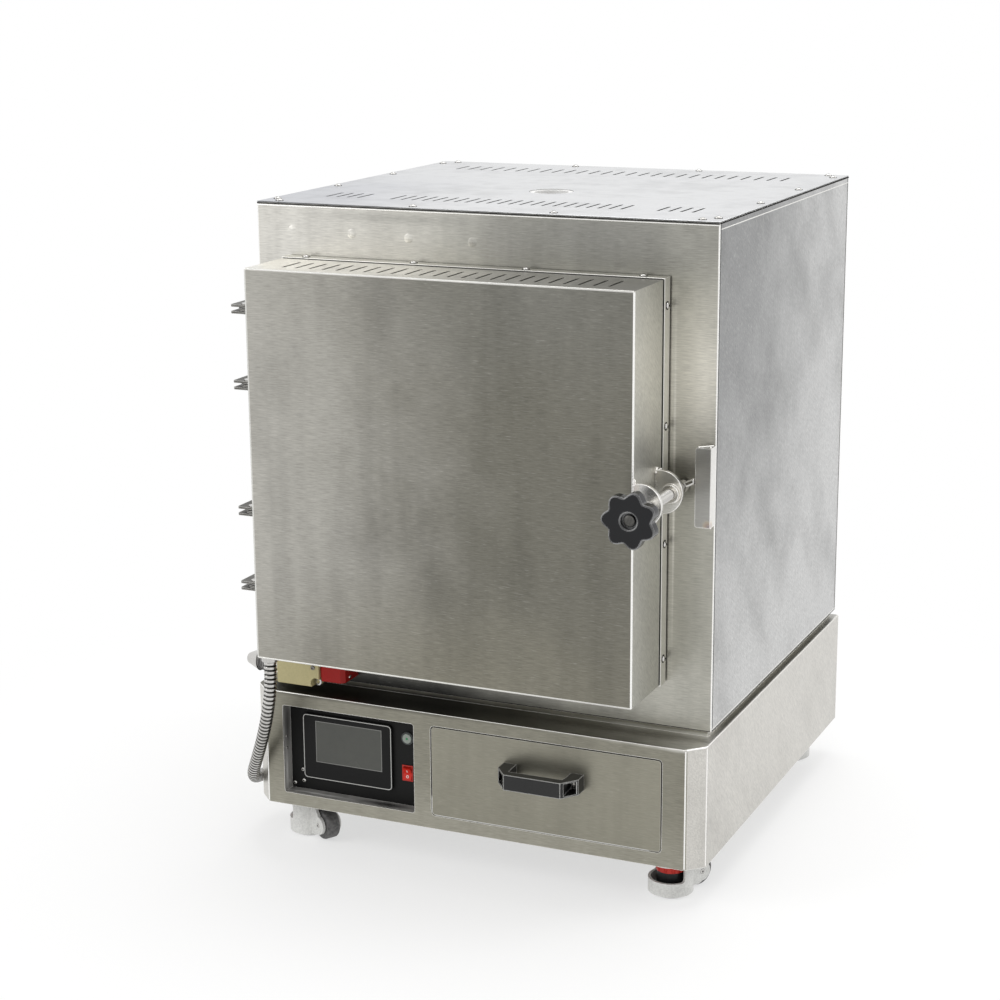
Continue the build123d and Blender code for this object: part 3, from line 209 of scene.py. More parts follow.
def makePatchGroup():
    # a broad soft patch of painted light or shade, where a sheet is lighter or darker
    group, given, result = newGroup("softPatch", {"Color": ["Color"]}, Color=["Base", "Tone"],
                                    Vector=["Centre", "Reach"], Float=["Amount"])
    spot = objectSpot(group)
    away = vectorMath(group, "SUBTRACT", spot, given["Centre"])[0]
    share = vectorMath(group, "LENGTH", vectorMath(group, "MULTIPLY", away, given["Reach"])[0])["Value"]
    uneven = past(group, noise(group, spot, 14, 2), 0.5, 0.4)
    mask = mapRange(group, math(group, "ADD", share, uneven), (0, 1), (given["Amount"], 0))
    feed(group, result, {"Color": mixColor(group, mask, given["Base"], given["Tone"])})
    return group


def makeEdgeGroup():
    # where a sheet's or a casting's edges are lighter: partly rubbed bright, partly a painted highlight on
    # their rounding
    group, given, result = newGroup("edgeWearAndHighlight", {"Float": ["Mask"]}, Float=["Radius", "Amount"])
    rounded = addNode(group, "Bevel", {"Radius": given["Radius"]}, samples=4).outputs[0]
    flat = addNode(group, "NewGeometry").outputs["Normal"]
    bent = past(group, vectorMath(group, "DOT_PRODUCT", rounded, flat)["Value"], 1, -14, True)
    feed(group, result, {"Mask": math(group, "MULTIPLY", bent, given["Amount"], True)})
    return group


def makeTintGroup():
    # straw and blue rings that heat leaves round a weld
    group, given, result = newGroup("heatTint", {"Color": ["Color"]}, Color=["Base"], Vector=["Centre"],
                                    Float=["Radius", "Amount"])
    spot = objectSpot(group)
    away = vectorMath(group, "DISTANCE", spot, given["Centre"])["Value"]
    wander = past(group, noise(group, spot, 90, 2), 0.5, 0.5)
    near = math(group, "ADD", math(group, "DIVIDE", away, given["Radius"]), wander)
    ramp = addNode(group, "ValToRGB", {0: near})
    stops = [(0, (0.2, 0.22, 0.3)), (0.35, (0.36, 0.2, 0.13)), (0.65, (0.62, 0.42, 0.2)),
             (1, (0.6, 0.56, 0.46))]
    while len(ramp.color_ramp.elements) < len(stops):
        ramp.color_ramp.elements.new(0.5)
    for element, (place, color) in zip(ramp.color_ramp.elements, stops):
        element.position = place
        element.color = (*color, 1)
    mask = math(group, "MULTIPLY", math(group, "SUBTRACT", 1, near, True), given["Amount"], True)
    feed(group, result, {"Color": mixColor(group, mask, given["Base"], ramp.outputs[0])})
    return group


def makeSpeckleGroup():
    # moulded, cast or fibrous surface: two sizes of mottling, and its height
    group, given, result = newGroup("speckle", surface, Color=["Base", "Dark"],
                                    Float=["Scale", "Roughness", "Variation"])
    spot = objectSpot(group)
    fine = noise(group, spot, given["Scale"], 4, 0.6)
    wide = noise(group, spot, 22, 3, 0.5)
    blend = math(group, "ADD", math(group, "MULTIPLY", fine, 0.6), math(group, "MULTIPLY", wide, 0.4))
    spread = past(group, blend, 0.35, 2.2, True)
    color = mixColor(group, spread, given["Dark"], given["Base"])
    rough = math(group, "ADD", given["Roughness"], past(group, wide, 0.5, given["Variation"]))
    feed(group, result, {"Color": color, "Roughness": rough, "Height": fine})
    return group


grainGroup = makeGrainGroup()
patchGroup = makePatchGroup()
edgeGroup = makeEdgeGroup()
tintGroup = makeTintGroup()
speckleGroup = makeSpeckleGroup()
print("shader groups made")


# Materials

def startMaterial():
    material = bpy.data.materials.new("finish")
    material.use_nodes = True
    tree = material.node_tree
    return material, tree, tree.nodes["Principled BSDF"]


def useGroup(tree, group, **values):
    node = addNode(tree, "Group", node_tree=group)
    feed(tree, node, {key.title(): value for key, value in values.items()})
    return node.outputs


def bump(tree, height, strength, distance):
    return addNode(tree, "Bump", {"Strength": strength, "Distance": distance, "Height": height}).outputs[0]


def sheetSteel(base, side=None, rough=0.34, smudge=0.25, grain=0.6, flecks=0.15, wearAndHighlight=1, wearHighlightRadius=0.0018,
               wearHighlightColor=(0.92, 0.91, 0.88), metallic=1, paintedLight=(), tints=()):
    # patches, each a soft area of painted light or shade: (centre, its reach along each axis in mm, colour,
    # amount); tints: (centre, radius, amount)
    material, tree, shader = startMaterial()
    color = base
    # lay on the patches of painted light and shade
    for centre, reach, tone, amount in paintedLight:
        color = useGroup(tree, patchGroup, base=color, tone=tone, centre=at(*centre),
                         reach=[1 / (r * mm) for r in reach], amount=amount)["Color"]
    sheet = useGroup(tree, grainGroup, base=color, side=side or color, smudge=smudge, grain=grain,
                     flecks=flecks, roughness=rough)
    color = sheet["Color"]
    for centre, radius, amount in tints:
        color = useGroup(tree, tintGroup, base=color, centre=at(*centre), radius=radius,
                         amount=amount)["Color"]
    # lighter edges: rubbed wear and a painted highlight
    edge = useGroup(tree, edgeGroup, radius=wearHighlightRadius, amount=wearAndHighlight)["Mask"]
    feed(tree, shader, {
        "Base Color": mixColor(tree, edge, color, wearHighlightColor), "Roughness": sheet["Roughness"],
        "Metallic": metallic, "Normal": bump(tree, sheet["Height"], 0.12, 0.0002)})
    return material


def moulded(base, dark, rough, scale=500, metallic=0, strength=0.15, wearAndHighlight=0, wearHighlightColor=None,
            variation=0.15, coat=0, depth=0.0003, wearHighlightRadius=0.0012, specular=0.5):
    material, tree, shader = startMaterial()
    body = useGroup(tree, speckleGroup, base=base, dark=dark, scale=scale, roughness=rough,
                    variation=variation)
    color = body["Color"]
    if wearAndHighlight:
        # lighter edges: rubbed wear and a painted highlight
        edge = useGroup(tree, edgeGroup, radius=wearHighlightRadius, amount=wearAndHighlight)["Mask"]
        color = mixColor(tree, edge, color, wearHighlightColor)
    feed(tree, shader, {
        "Base Color": color, "Roughness": body["Roughness"], "Metallic": metallic, "Coat Weight": coat,
        "Specular IOR Level": specular, "Normal": bump(tree, body["Height"], strength, depth)})
    return material


def banded(axis, limit, below, above, **settings):
    # one moulded material that changes colour at a height or depth in the part's frame
    material = moulded(below, below, **settings)
    tree = material.node_tree
    value = addNode(tree, "SeparateXYZ", {0: objectSpot(tree)}).outputs[axis]
    mask = math(tree, "GREATER_THAN", value, limit)
    group = next(n for n in tree.nodes if n.type == "GROUP" and n.node_tree == speckleGroup)
    darker = [[c * 0.8 for c in color] for color in (below, above)]
    feed(tree, group, {"Base": mixColor(tree, mask, below, above), "Dark": mixColor(tree, mask, *darker)})
    return material


board = {"rough": 0.95, "scale": 260, "strength": 0.8, "depth": 0.0012}
finishes = {
    # the front's patches are painted light and shade: a darker area high on the right, a lighter one high on
    # the left, a dark band under the top edge, a painted reflection on the strip right of the door with a
    # painted highlight line beside the door, painted highlights and one shade on the spot marks, and a
    # painted shadow along the bottom under the door
    "frontSteel": sheetSteel((0.44, 0.432, 0.385), smudge=0.22, grain=0.9, flecks=0.2, paintedLight=[
        ((430, 0, 590), (330, 60, 105), (0.275, 0.272, 0.25), 1),
        ((60, 0, 585), (350, 60, 190), (0.66, 0.645, 0.6), 1),
        ((200, 0, 596), (160, 60, 10), (0.34, 0.335, 0.31), 0.5),
        ((580, 0, 430), (70, 60, 150), (0.74, 0.715, 0.64), 1),
        ((549, 0, 300), (2.4, 30, 250), (0.9, 0.88, 0.82), 0.6),
        ((49, 0, 576), (10, 30, 5), (0.92, 0.9, 0.84), 0.35),
        ((131, 0, 575), (6, 30, 5), (0.92, 0.9, 0.84), 0.35),
        ((205, 0, 573), (22, 30, 9), (0.8, 0.78, 0.72), 0.3),
        ((292, 0, 572), (5, 30, 6), (0.3, 0.29, 0.27), 0.35),
        ((170, 0, 0), (400, 60, 60), (0.05, 0.05, 0.047), 1)]),
    # the sides' patches are painted shade, darkest high up: over the right side, and near the front on the
    # left side
    "sideSteel": sheetSteel((0.55, 0.55, 0.545), rough=0.36, smudge=0.3, grain=1.5, flecks=0.5, paintedLight=[
        ((600, 20, 560), (60, 620, 620), (0.25, 0.252, 0.252), 1),
        ((0, 0, 540), (60, 430, 560), (0.3, 0.3, 0.295), 1)]),
    # the cover's patches: a painted shade over its left front, and a black band low on its edge as the
    # painted shadow of the gap under it
    "coverSteel": sheetSteel((0.625, 0.63, 0.637), rough=0.38, smudge=0.18, grain=0.5, flecks=0.1,
        wearAndHighlight=0, paintedLight=[
        ((0, 60, 610), (260, 420, 40), (0.47, 0.48, 0.51), 0.9),
        ((300, 272, 608.8), (3000, 3000, 1.15), (0.03, 0.03, 0.03), 1)]),
    # the door's dark front and light sides are painted shade and light, and its patches paint more: lighter
    # on the left, darker high on the right and low down, a lighter band and a bright painted highlight along
    # the top edge, and a painted shadow line just under it
    "doorSteel": sheetSteel((0.178, 0.172, 0.145), side=(0.6, 0.595, 0.55), rough=0.32, smudge=0.2,
        grain=1, flecks=0.16, wearAndHighlight=0.1, paintedLight=[
        ((30, -115, 330), (370, 200, 900), (0.44, 0.428, 0.392), 1),
        ((430, -115, 560), (330, 200, 190), (0.215, 0.212, 0.19), 0.8),
        ((330, -115, 40), (420, 200, 170), (0.24, 0.228, 0.182), 0.8),
        ((300, -60, 544.8), (900, 200, 3.2), (0.38, 0.372, 0.35), 1),
        ((80, -60, 544.8), (440, 200, 3.2), (0.9, 0.88, 0.82), 1),
        ((300, -60, 542.6), (900, 42, 1.3), (0.03, 0.03, 0.028), 1)]),
    # the rim's lighter side colour is painted light
    "rimSteel": sheetSteel((0.6, 0.59, 0.54), side=(0.78, 0.77, 0.72), smudge=0.2),
    # a near-white steel for the bright fold lines: a painted highlight
    "highlightSteel": sheetSteel((0.95, 0.945, 0.92), rough=0.26, smudge=0.1, grain=0.25, flecks=0.1),
    # a lighter steel for the fold beads on the sides and the door front: a painted highlight, with a painted
    # shade near the door's right edge
    "foldHighlightSteel": sheetSteel((0.56, 0.555, 0.52), rough=0.3, smudge=0.2, grain=0.4, flecks=0.1, paintedLight=[
        ((540, -114, 330), (200, 60, 900), (0.42, 0.41, 0.38), 1)]),
    # the base's dark front and light sides are painted shade and light, and its patches paint more: lighter
    # at the rear and along the bottom, a painted shadow on the deck under the door and painted light on the
    # deck to the right, a painted highlight along the top right edge and on the right cut corner
    "baseSteel": sheetSteel((0.25, 0.241, 0.198), side=(0.6, 0.585, 0.55), rough=0.38, smudge=0.14,
        grain=0.9, flecks=0.12, wearHighlightRadius=0.0012, paintedLight=[
        ((300, 549, -85), (2000, 120, 500), (0.44, 0.435, 0.41), 1),
        ((300, -47, -158), (700, 60, 75), (0.35, 0.337, 0.284), 1),
        ((200, -15, -8.5), (340, 80, 7), (0.03, 0.029, 0.028), 1),
        ((720, -15, -8.5), (400, 80, 7), (0.98, 0.97, 0.93), 1),
        ((604, 250, -9.5), (3, 900, 3), (0.97, 0.96, 0.93), 0.9),
        ((596, -38, -90), (15, 16, 200), (0.78, 0.775, 0.74), 1)]),
    "drawerSteel": sheetSteel((0.285, 0.274, 0.224), rough=0.38, smudge=0.16, grain=0.5, flecks=0.12,
        wearAndHighlight=0.35, wearHighlightRadius=0.0012),
    "plainSteel": sheetSteel((0.42, 0.42, 0.4), rough=0.36),
    "hingeSteel": sheetSteel((0.13, 0.126, 0.114), rough=0.42, smudge=0.4, wearAndHighlight=0.5),
    "weldedSteel": sheetSteel((0.74, 0.73, 0.7), rough=0.24, smudge=0.35, wearHighlightColor=(0.98, 0.97, 0.95),
        tints=[((561, -41, 301), 0.016, 0.45), ((541, -112, 322), 0.01, 0.3),
            ((541, -41, 322), 0.01, 0.3)]),
    # the keeper's lighter side colour is painted light; its tints are heat marks
    "keeperSteel": sheetSteel((0.36, 0.355, 0.335), side=(0.78, 0.77, 0.74), rough=0.3, smudge=0.3,
        grain=0.4, wearHighlightColor=(0.96, 0.95, 0.93), tints=[((581, -9, 309), 0.012, 0.5),
            ((598, -16, 258), 0.009, 0.6)]),
    # the recess liner's patches paint its light: a dark area high on the left wall, a bright painted
    # reflection low on it and on the floor's left, and a dark area on the floor's middle
    "polishedSteel": sheetSteel((0.46, 0.45, 0.43), rough=0.2, smudge=0.8, grain=0.3, metallic=0.3, paintedLight=[
        ((41, -36, -60), (6, 12, 50), (0.03, 0.03, 0.03), 0.8),
        ((41, -40, -118), (6, 5, 40), (0.95, 0.94, 0.92), 1),
        ((85, -38, -145), (60, 4, 6), (0.95, 0.94, 0.92), 1),
        ((180, -36, -145), (60, 9, 6), (0.04, 0.04, 0.04), 0.9)]),
    "brightSteel": moulded((0.68, 0.67, 0.65), (0.48, 0.47, 0.45), rough=0.16, metallic=1, scale=900,
        strength=0.08, variation=0.1),
    "screwSteel": moulded((0.92, 0.91, 0.89), (0.4, 0.39, 0.37), rough=0.16, metallic=1, scale=420,
        strength=0.1, variation=0.1),
    "ribSteel": moulded((0.82, 0.81, 0.79), (0.42, 0.41, 0.39), rough=0.14, metallic=1, scale=300,
        strength=0.08, variation=0.1),
    "ribShade": moulded((0.16, 0.155, 0.145), (0.04, 0.04, 0.038), rough=0.35, metallic=1),
    "dullSteel": moulded((0.34, 0.33, 0.31), (0.2, 0.19, 0.18), rough=0.38, metallic=1, scale=700),
    # a near-black finish for painted shadow: in the sheets' joints and round the screw heads
    "paintedShadow": moulded((0.022, 0.022, 0.02), (0.01, 0.01, 0.01), rough=0.8, specular=0.1),
    "elementAlloy": moulded((0.16, 0.13, 0.12), (0.08, 0.07, 0.07), rough=0.6, metallic=0.6),
    "fibreBoard": moulded((0.8, 0.77, 0.7), (0.62, 0.58, 0.51), **board),
    # the roof insulation's dark colour is painted shade, seen through the cover's slots
    "shadedRoofBoard": moulded((0.1, 0.095, 0.085), (0.05, 0.048, 0.044), **board),
    # the door insulation is dark above 515 mm: painted shade near the slots
    "doorBoard": banded("Z", at(0, 0, 515).z, (0.78, 0.75, 0.68), (0.07, 0.065, 0.06), **board),
    "ceramic": banded("Z", at(0, 0, 608.6).z, (0.95, 0.945, 0.93), (0.93, 0.92, 0.9), rough=0.55,
        strength=0.1),
    "ropeSeal": moulded((0.72, 0.7, 0.64), (0.45, 0.43, 0.39), rough=0.95, scale=320, strength=1,
        depth=0.0015),
    # the knob's light grey edges are a painted highlight
    "blackPlastic": moulded((0.008, 0.009, 0.011), (0.004, 0.004, 0.005), rough=0.16, wearAndHighlight=1,
        wearHighlightColor=(0.55, 0.55, 0.55), wearHighlightRadius=0.0022, specular=0.3),
    "screenPlastic": moulded((0.01, 0.01, 0.01), (0.007, 0.007, 0.007), rough=0.4, specular=0.15),
    "panelPaint": moulded((0.011, 0.011, 0.0105), (0.007, 0.007, 0.007), rough=0.5, specular=0.15),
    "handlePlastic": moulded((0.026, 0.026, 0.026), (0.014, 0.014, 0.014), rough=0.36, wearAndHighlight=1,
        wearHighlightColor=(0.62, 0.62, 0.6), wearHighlightRadius=0.0016, specular=0.3),
    "redPlastic": moulded((0.4, 0.016, 0.012), (0.3, 0.01, 0.008), rough=0.34, specular=0.2),
    "rockerRed": moulded((0.66, 0.025, 0.012), (0.54, 0.018, 0.01), rough=0.28, specular=0.3),
    "buttonPlastic": moulded((0.3, 0.34, 0.3), (0.23, 0.26, 0.23), rough=0.25, coat=0.2),
    "greenLamp": moulded((0.02, 0.3, 0.1), (0.01, 0.2, 0.06), rough=0.3),
    "castAlloy": moulded((0.9, 0.9, 0.87), (0.52, 0.52, 0.5), rough=0.4, scale=420, strength=0.6,
        depth=0.0007, wearAndHighlight=0.7, wearHighlightColor=(0.97, 0.97, 0.95)),
    "wheelNylon": moulded((0.22, 0.215, 0.21), (0.018, 0.018, 0.019), rough=0.5, scale=260, strength=0.3),
    "switchCream": banded("Y", at(0, -27, 0).y, (0.56, 0.5, 0.27), (0.02, 0.02, 0.02), rough=0.42,
        specular=0.3),
    "footPlastic": banded("Z", at(0, 0, -184.5).z, (0.012, 0.012, 0.013), (0.62, 0.03, 0.018), rough=0.35,
        specular=0.3),
    "bezelPlastic": banded("Z", at(0, 0, -80).z, (0.5, 0.03, 0.02), (0.06, 0.065, 0.065), rough=0.32,
        specular=0.3),
    "displayGlass": moulded((0.09, 0.092, 0.082), (0.078, 0.08, 0.072), rough=0.25, scale=90,
        strength=0.02, specular=0.3),
    "displayEdge": moulded((0.25, 0.25, 0.24), (0.2, 0.2, 0.19), rough=0.4, specular=0.2),
    "trimGrey": moulded((0.62, 0.62, 0.6), (0.48, 0.48, 0.46), rough=0.35),
    "markWhite": moulded((0.85, 0.83, 0.8), (0.75, 0.73, 0.7), rough=0.4),
}
for name, material in finishes.items():
    material.name = name
print("materials made:", len(finishes))

nodeFinish = {
    "frontSteel": "cabinet_front", "sideSteel": "cabinet_left cabinet_right rear_cover",
    "coverSteel": "top_cover", "doorSteel": "door_shell", "rimSteel": "door_frame",
    "baseSteel": "base_shell base_front", "drawerSteel": "drawer_front",
    "plainSteel": "base_floor drawer_box", "hingeSteel": "door_hinge_arms hinge_brackets",
    "weldedSteel": "clamp_lugs", "keeperSteel": "latch_keeper", "polishedSteel": "control_recess",
    "brightSteel": "handle_screws door_gland switch_key hinge_pins clamp_bolt cable_glands",
    "screwSteel": "door_screws cover_screws", "ribSteel": "conduit",
    "dullSteel": "drawer_runners caster_plates control_electronics", "elementAlloy": "heating_elements",
    "fibreBoard": "insulation_floor insulation_sides insulation_rear", "shadedRoofBoard": "insulation_roof",
    "doorBoard": "door_insulation", "ceramic": "flue_tube hearth_plate thermocouple",
    "ropeSeal": "door_seal", "blackPlastic": "clamp_knob", "screenPlastic": "touch_screen",
    "panelPaint": "control_panel", "handlePlastic": "drawer_handle", "redPlastic": "switch_head",
    "rockerRed": "power_rocker", "buttonPlastic": "start_button", "switchCream": "switch_body",
    "bezelPlastic": "switch_bezels",
}
finishOf = {node: finish for finish, names in nodeFinish.items() for node in names.split()}
casterFinish = {"housing": "castAlloy", "wheel": "wheelNylon", "foot": "footPlastic"}
for name in nodes:
    finishOf.setdefault(name, casterFinish.get(name.split("_")[-1]))
for name, node in nodes.items():
    node.data.materials.clear()
    node.data.materials.append(finishes[finishOf[name]])
print("CAD nodes finished")


# Making pieces

def addPiece(name, bm, finish, body="cabinet", smooth=35, flats=True):
    piece = addMesh(name, meshOf(bm, name), finish, smooth, flats)
    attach(piece, body)
    return piece


def addMesh(name, mesh, finish, smooth=35, flats=True):
    mesh.shade_smooth()
    mesh.set_sharp_from_angle(angle=radians(smooth))
    piece = linked(name, mesh)
    mesh.materials.append(finishes[finish])
    if flats:
        keepFlats(piece)
    return piece


def keepFlats(piece):
    piece.modifiers.new("flats", "WEIGHTED_NORMAL").keep_sharp = True


def bevel(bm, geom, width, segments, affect="EDGES"):
    bmesh.ops.bevel(bm, geom=geom, offset=width * mm, segments=segments, profile=0.5, affect=affect,
                    clamp_overlap=True, material=-1)


def soften(bm, width, longer=0, sharper=38, segments=2):
    # round the edges that turn by more than an angle and are longer than a length
    edges = [e for e in bm.edges if len(e.link_faces) == 2 and e.calc_face_angle() > radians(sharper)
             and e.calc_length() > longer * mm]
    bevel(bm, edges, width, segments)


def edgesOf(verts):
    return list({e for v in verts for e in v.link_edges})


def pull(bm, vec, edges=None):
    # draw out edges, or else all faces, and return the new vertices
    made = (bmesh.ops.extrude_edge_only(bm, edges=edges) if edges
            else bmesh.ops.extrude_face_region(bm, geom=bm.faces[:]))
    moved = [g for g in made["geom"] if isinstance(g, bmesh.types.BMVert)]
    bmesh.ops.translate(bm, vec=Vector(vec) * mm, verts=moved)
    return moved


def faceOut(bm):
    bmesh.ops.recalc_face_normals(bm, faces=bm.faces)
    return bm


def move(bm, matrix):
    bmesh.ops.transform(bm, matrix=matrix, verts=bm.verts)
    return bm


def stand(bm, place, axis):
    # from upright at the origin to a place and an axis
    turn = Vector((0, 0, 1)).rotation_difference(Vector(axis)).to_matrix().to_4x4()
    return move(bm, shift(place) @ turn)


def joined(parts):
    # several meshes in one
    whole = bmesh.new()
    for bm in parts:
        mesh = meshOf(bm, "part")
        whole.from_mesh(mesh)
        bpy.data.meshes.remove(mesh)
    return whole


def camel(name):
    first, *rest = name.split("_")
    return first + "".join(word.capitalize() for word in rest)


# Conduit

conduit = {
    "corners": [(55, -100, 51), (55, -100, 19), (48, -97.5, -18), (33, -86, -57), (13, -68.6, -94.3),
                (-9, -46.6, -130.3), (-19, -14, -147), (-19, 24, -147)],
    "length": 0.28, "radius": 8, "ribs": 49, "groove": 0.82, "sides": 28, "shade": 0.93,
    "rib": [(0, 0), (0.1, 0.35), (0.22, 0.92), (0.38, 1), (0.6, 1), (0.76, 0.92), (0.88, 0.35)],
}


def newCurve(name, kind, count):
    curve = bpy.data.curves.new(name, "CURVE")
    curve.dimensions = "3D"
    spline = curve.splines.new(kind)
    spline.points.add(count - 1)
    return curve, spline


def drawn(curve):
    # what a curve draws, as a mesh
    thing = linked(curve.name, curve)
    bpy.context.view_layer.update()
    mesh = bpy.data.meshes.new_from_object(thing)
    bpy.data.objects.remove(thing)
    return mesh


def makeConduit():
    curve, route = newCurve("conduitRoute", "NURBS", len(conduit["corners"]))
    for point, place in zip(route.points, conduit["corners"]):
        point.co = (*at(*place), 1)
    route.order_u = 3
    route.use_endpoint_u = True
    curve.resolution_u = 48
    line = [v.co.copy() for v in drawn(curve).vertices]
    lengths = [0]
    for a, b in zip(line, line[1:]):
        lengths.append(lengths[-1] + (b - a).length)

    def walk(distance):
        i = max(k for k in range(len(line) - 1) if lengths[k] <= distance)
        share = (distance - lengths[i]) / (lengths[i + 1] - lengths[i])
        return line[i].lerp(line[i + 1], min(share, 1))

    pitch = lengths[-1] / conduit["ribs"]
    steps = [((k + share) * pitch, rise) for k in range(conduit["ribs"]) for share, rise in conduit["rib"]]
    steps.append((lengths[-1], 0))
    tube, spline = newCurve("conduitTube", "POLY", len(steps))
    tube.bevel_depth = conduit["radius"] * mm
    tube.bevel_resolution = conduit["sides"] // 4
    tube.use_fill_caps = True
    path = []
    for point, (distance, rise) in zip(spline.points, steps):
        place = walk(distance)
        point.co = (*place, 1)
        point.radius = conduit["groove"] + (1 - conduit["groove"]) * rise
        path.append(tuple(place))
    mesh = drawn(tube)
    piece = addMesh("ribbedConduit", mesh, "ribSteel", smooth=60)
    mesh.materials.append(finishes["ribShade"])
    deep = conduit["radius"] * mm * conduit["shade"]
    for face in mesh.polygons:
        face.material_index = int(min((face.center - spot).length for spot in map(Vector, path)) < deep)
    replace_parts(piece, "conduit")
    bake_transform(piece)


makeConduit()
print("conduit made")


# Sheet metal

def nodeMesh(name):
    # a clean copy of a CAD node: its triangles merged into whole faces
    bm = bmesh.new()
    bm.from_mesh(nodes[name].data)
    bmesh.ops.remove_doubles(bm, verts=bm.verts, dist=0.00002)
    bmesh.ops.dissolve_limit(bm, angle_limit=radians(0.6), verts=bm.verts, edges=bm.edges)
    return bm


def bodyOf(node):
    return next(b for b, members in frame["record"]["behaviour"]["bodies"].items() if node in members)


def dress(node, width, longer):
    # the node's own shape with its folds and edges rounded
    bm = nodeMesh(node)
    soften(bm, width, longer)
    piece = addPiece(camel(node) + "Formed", bm, finishOf[node], bodyOf(node))
    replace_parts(piece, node)


# each node's rounding, and how long an edge has to be to get it
edgeRounding = {
    "top_cover": (0.7, 60), "cabinet_front": (0.8, 60), "cabinet_left": (0.7, 60),
    "cabinet_right": (0.7, 60), "rear_cover": (0.6, 60), "door_frame": (0.5, 60), "drawer_front": (0.7, 60),
    "latch_keeper": (0.7, 4), "clamp_lugs": (0.7, 0), "drawer_handle": (0.7, 1.5), "switch_head": (0.8, 2),
    "hinge_brackets": (0.5, 2), "touch_screen": (0.6, 4),
}
for node, (width, longer) in edgeRounding.items():
    dress(node, width, longer)

base = {"x": (-5, 605), "y": (-47, 549), "z": (-162, -8.5), "cut": 21, "fold": 3, "rim": 1.6, "sheet": 2,
        "edge": 0.5, "plinthX": (6, 594), "plinthY": (6, 539),
        "openings": [((40, 226), (-145, -27), 3), ((249.5, 555.5), (-144.5, -25.5), 5.5)]}


def flatPlate(x, z, y, cornerRadius=0):
    # an upright face towards the front, perhaps with round corners
    bm = bmesh.new()
    middle = at((x[0] + x[1]) / 2, y, (z[0] + z[1]) / 2)
    sizes = Matrix.Diagonal(((x[1] - x[0]) * mm, (z[1] - z[0]) * mm, 1, 1))
    bmesh.ops.create_grid(bm, x_segments=1, y_segments=1, size=0.5, matrix=shift(middle) @ frontward @ sizes)
    if cornerRadius:
        bevel(bm, bm.verts[:], cornerRadius, 6, "VERTICES")
    return bm


def cutOpening(bm, x, z, y, cornerRadius):
    # the outline of an opening, drawn in the mesh without its face
    mesh = meshOf(flatPlate(x, z, y, cornerRadius), "opening")
    known = set(bm.edges)
    bm.from_mesh(mesh)
    bpy.data.meshes.remove(mesh)
    added = [e for e in bm.edges if e not in known]
    bmesh.ops.delete(bm, geom=list({f for e in added for f in e.link_faces}), context="FACES_ONLY")
    return added


def formBase():
    # the folded skirt with its cut corners and openings, its deck and the plinth, before its sheet thickness
    (x0, x1), (y0, y1), (low, top), cut = base["x"], base["y"], base["z"], base["cut"]
    bm = bmesh.new()
    corners = [(x0, y0 + cut), (x0 + cut, y0), (x1 - cut, y0), (x1, y0 + cut), (x1, y1), (x0, y1)]
    bm.faces.new([bm.verts.new(at(x, y, top)) for x, y in corners])
    bevel(bm, bm.verts[:], base["fold"], 4, "VERTICES")
    pull(bm, (0, 0, low - top), bm.edges[:])
    upper = at(0, 0, top - 1).z
    rim = [e for e in bm.edges if len(e.link_faces) == 2 and all(v.co.z > upper for v in e.verts)]
    bevel(bm, rim, base["rim"], 3)
    front = max((f for f in bm.faces if f.normal.y ** 2 > 0.99), key=lambda f: -f.calc_center_median().y)
    outline = front.edges[:]
    bmesh.ops.delete(bm, geom=[front], context="FACES_ONLY")
    for x, z, cornerRadius in base["openings"]:
        outline += cutOpening(bm, x, z, y0, cornerRadius)
    bmesh.ops.triangle_fill(bm, edges=outline, use_beauty=True, normal=(0, -1, 0))
    (left, right), (near, far) = base["plinthX"], base["plinthY"]
    corners = [(left, near), (right, near), (right, far), (left, far)]
    deck = bm.faces.new([bm.verts.new(at(x, y, 0)) for x, y in corners])
    pull(bm, (0, 0, top), deck.edges[:])
    middle = at((x0 + x1) / 2, (y0 + y1) / 2, (low + top) / 2)
    bm.normal_update()
    inward = [f for f in bm.faces if f.normal.dot(f.calc_center_median() - middle) < 0]
    bmesh.ops.reverse_faces(bm, faces=inward)
    piece = addPiece("baseFormed", bm, "baseSteel", "cabinet", flats=False)
    wall = piece.modifiers.new("sheet", "SOLIDIFY")
    wall.thickness = base["sheet"] * mm
    wall.offset = -1
    wall.use_even_offset = True
    edges = piece.modifiers.new("cuts", "BEVEL")
    edges.width = base["edge"] * mm
    edges.segments = 2
    edges.limit_method = "ANGLE"
    edges.angle_limit = radians(50)
    keepFlats(piece)
    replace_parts(piece, "base_front", "base_shell")


formBase()
print("sheet metal formed")


# Round pieces

def turned(profile, place, axis, sides=32):
    # profile: (distance along the axis, radius), spun round it
    bm = bmesh.new()
    ring = [bm.verts.new((radius * mm, 0, along * mm)) for along, radius in profile]
    edges = [bm.edges.new(pair) for pair in zip(ring, ring[1:])]
    bmesh.ops.spin(bm, geom=ring + edges, cent=(0, 0, 0), axis=(0, 0, 1), angle=tau, steps=sides,
                   use_merge=True)
    bmesh.ops.remove_doubles(bm, verts=bm.verts, dist=0.000005)
    return stand(faceOut(bm), place, axis)


screw = {"radius": 3.9, "height": 2.4, "socket": 1.8, "depth": 1.5, "washer": 5.1, "shadowRingHeight": 0.4}


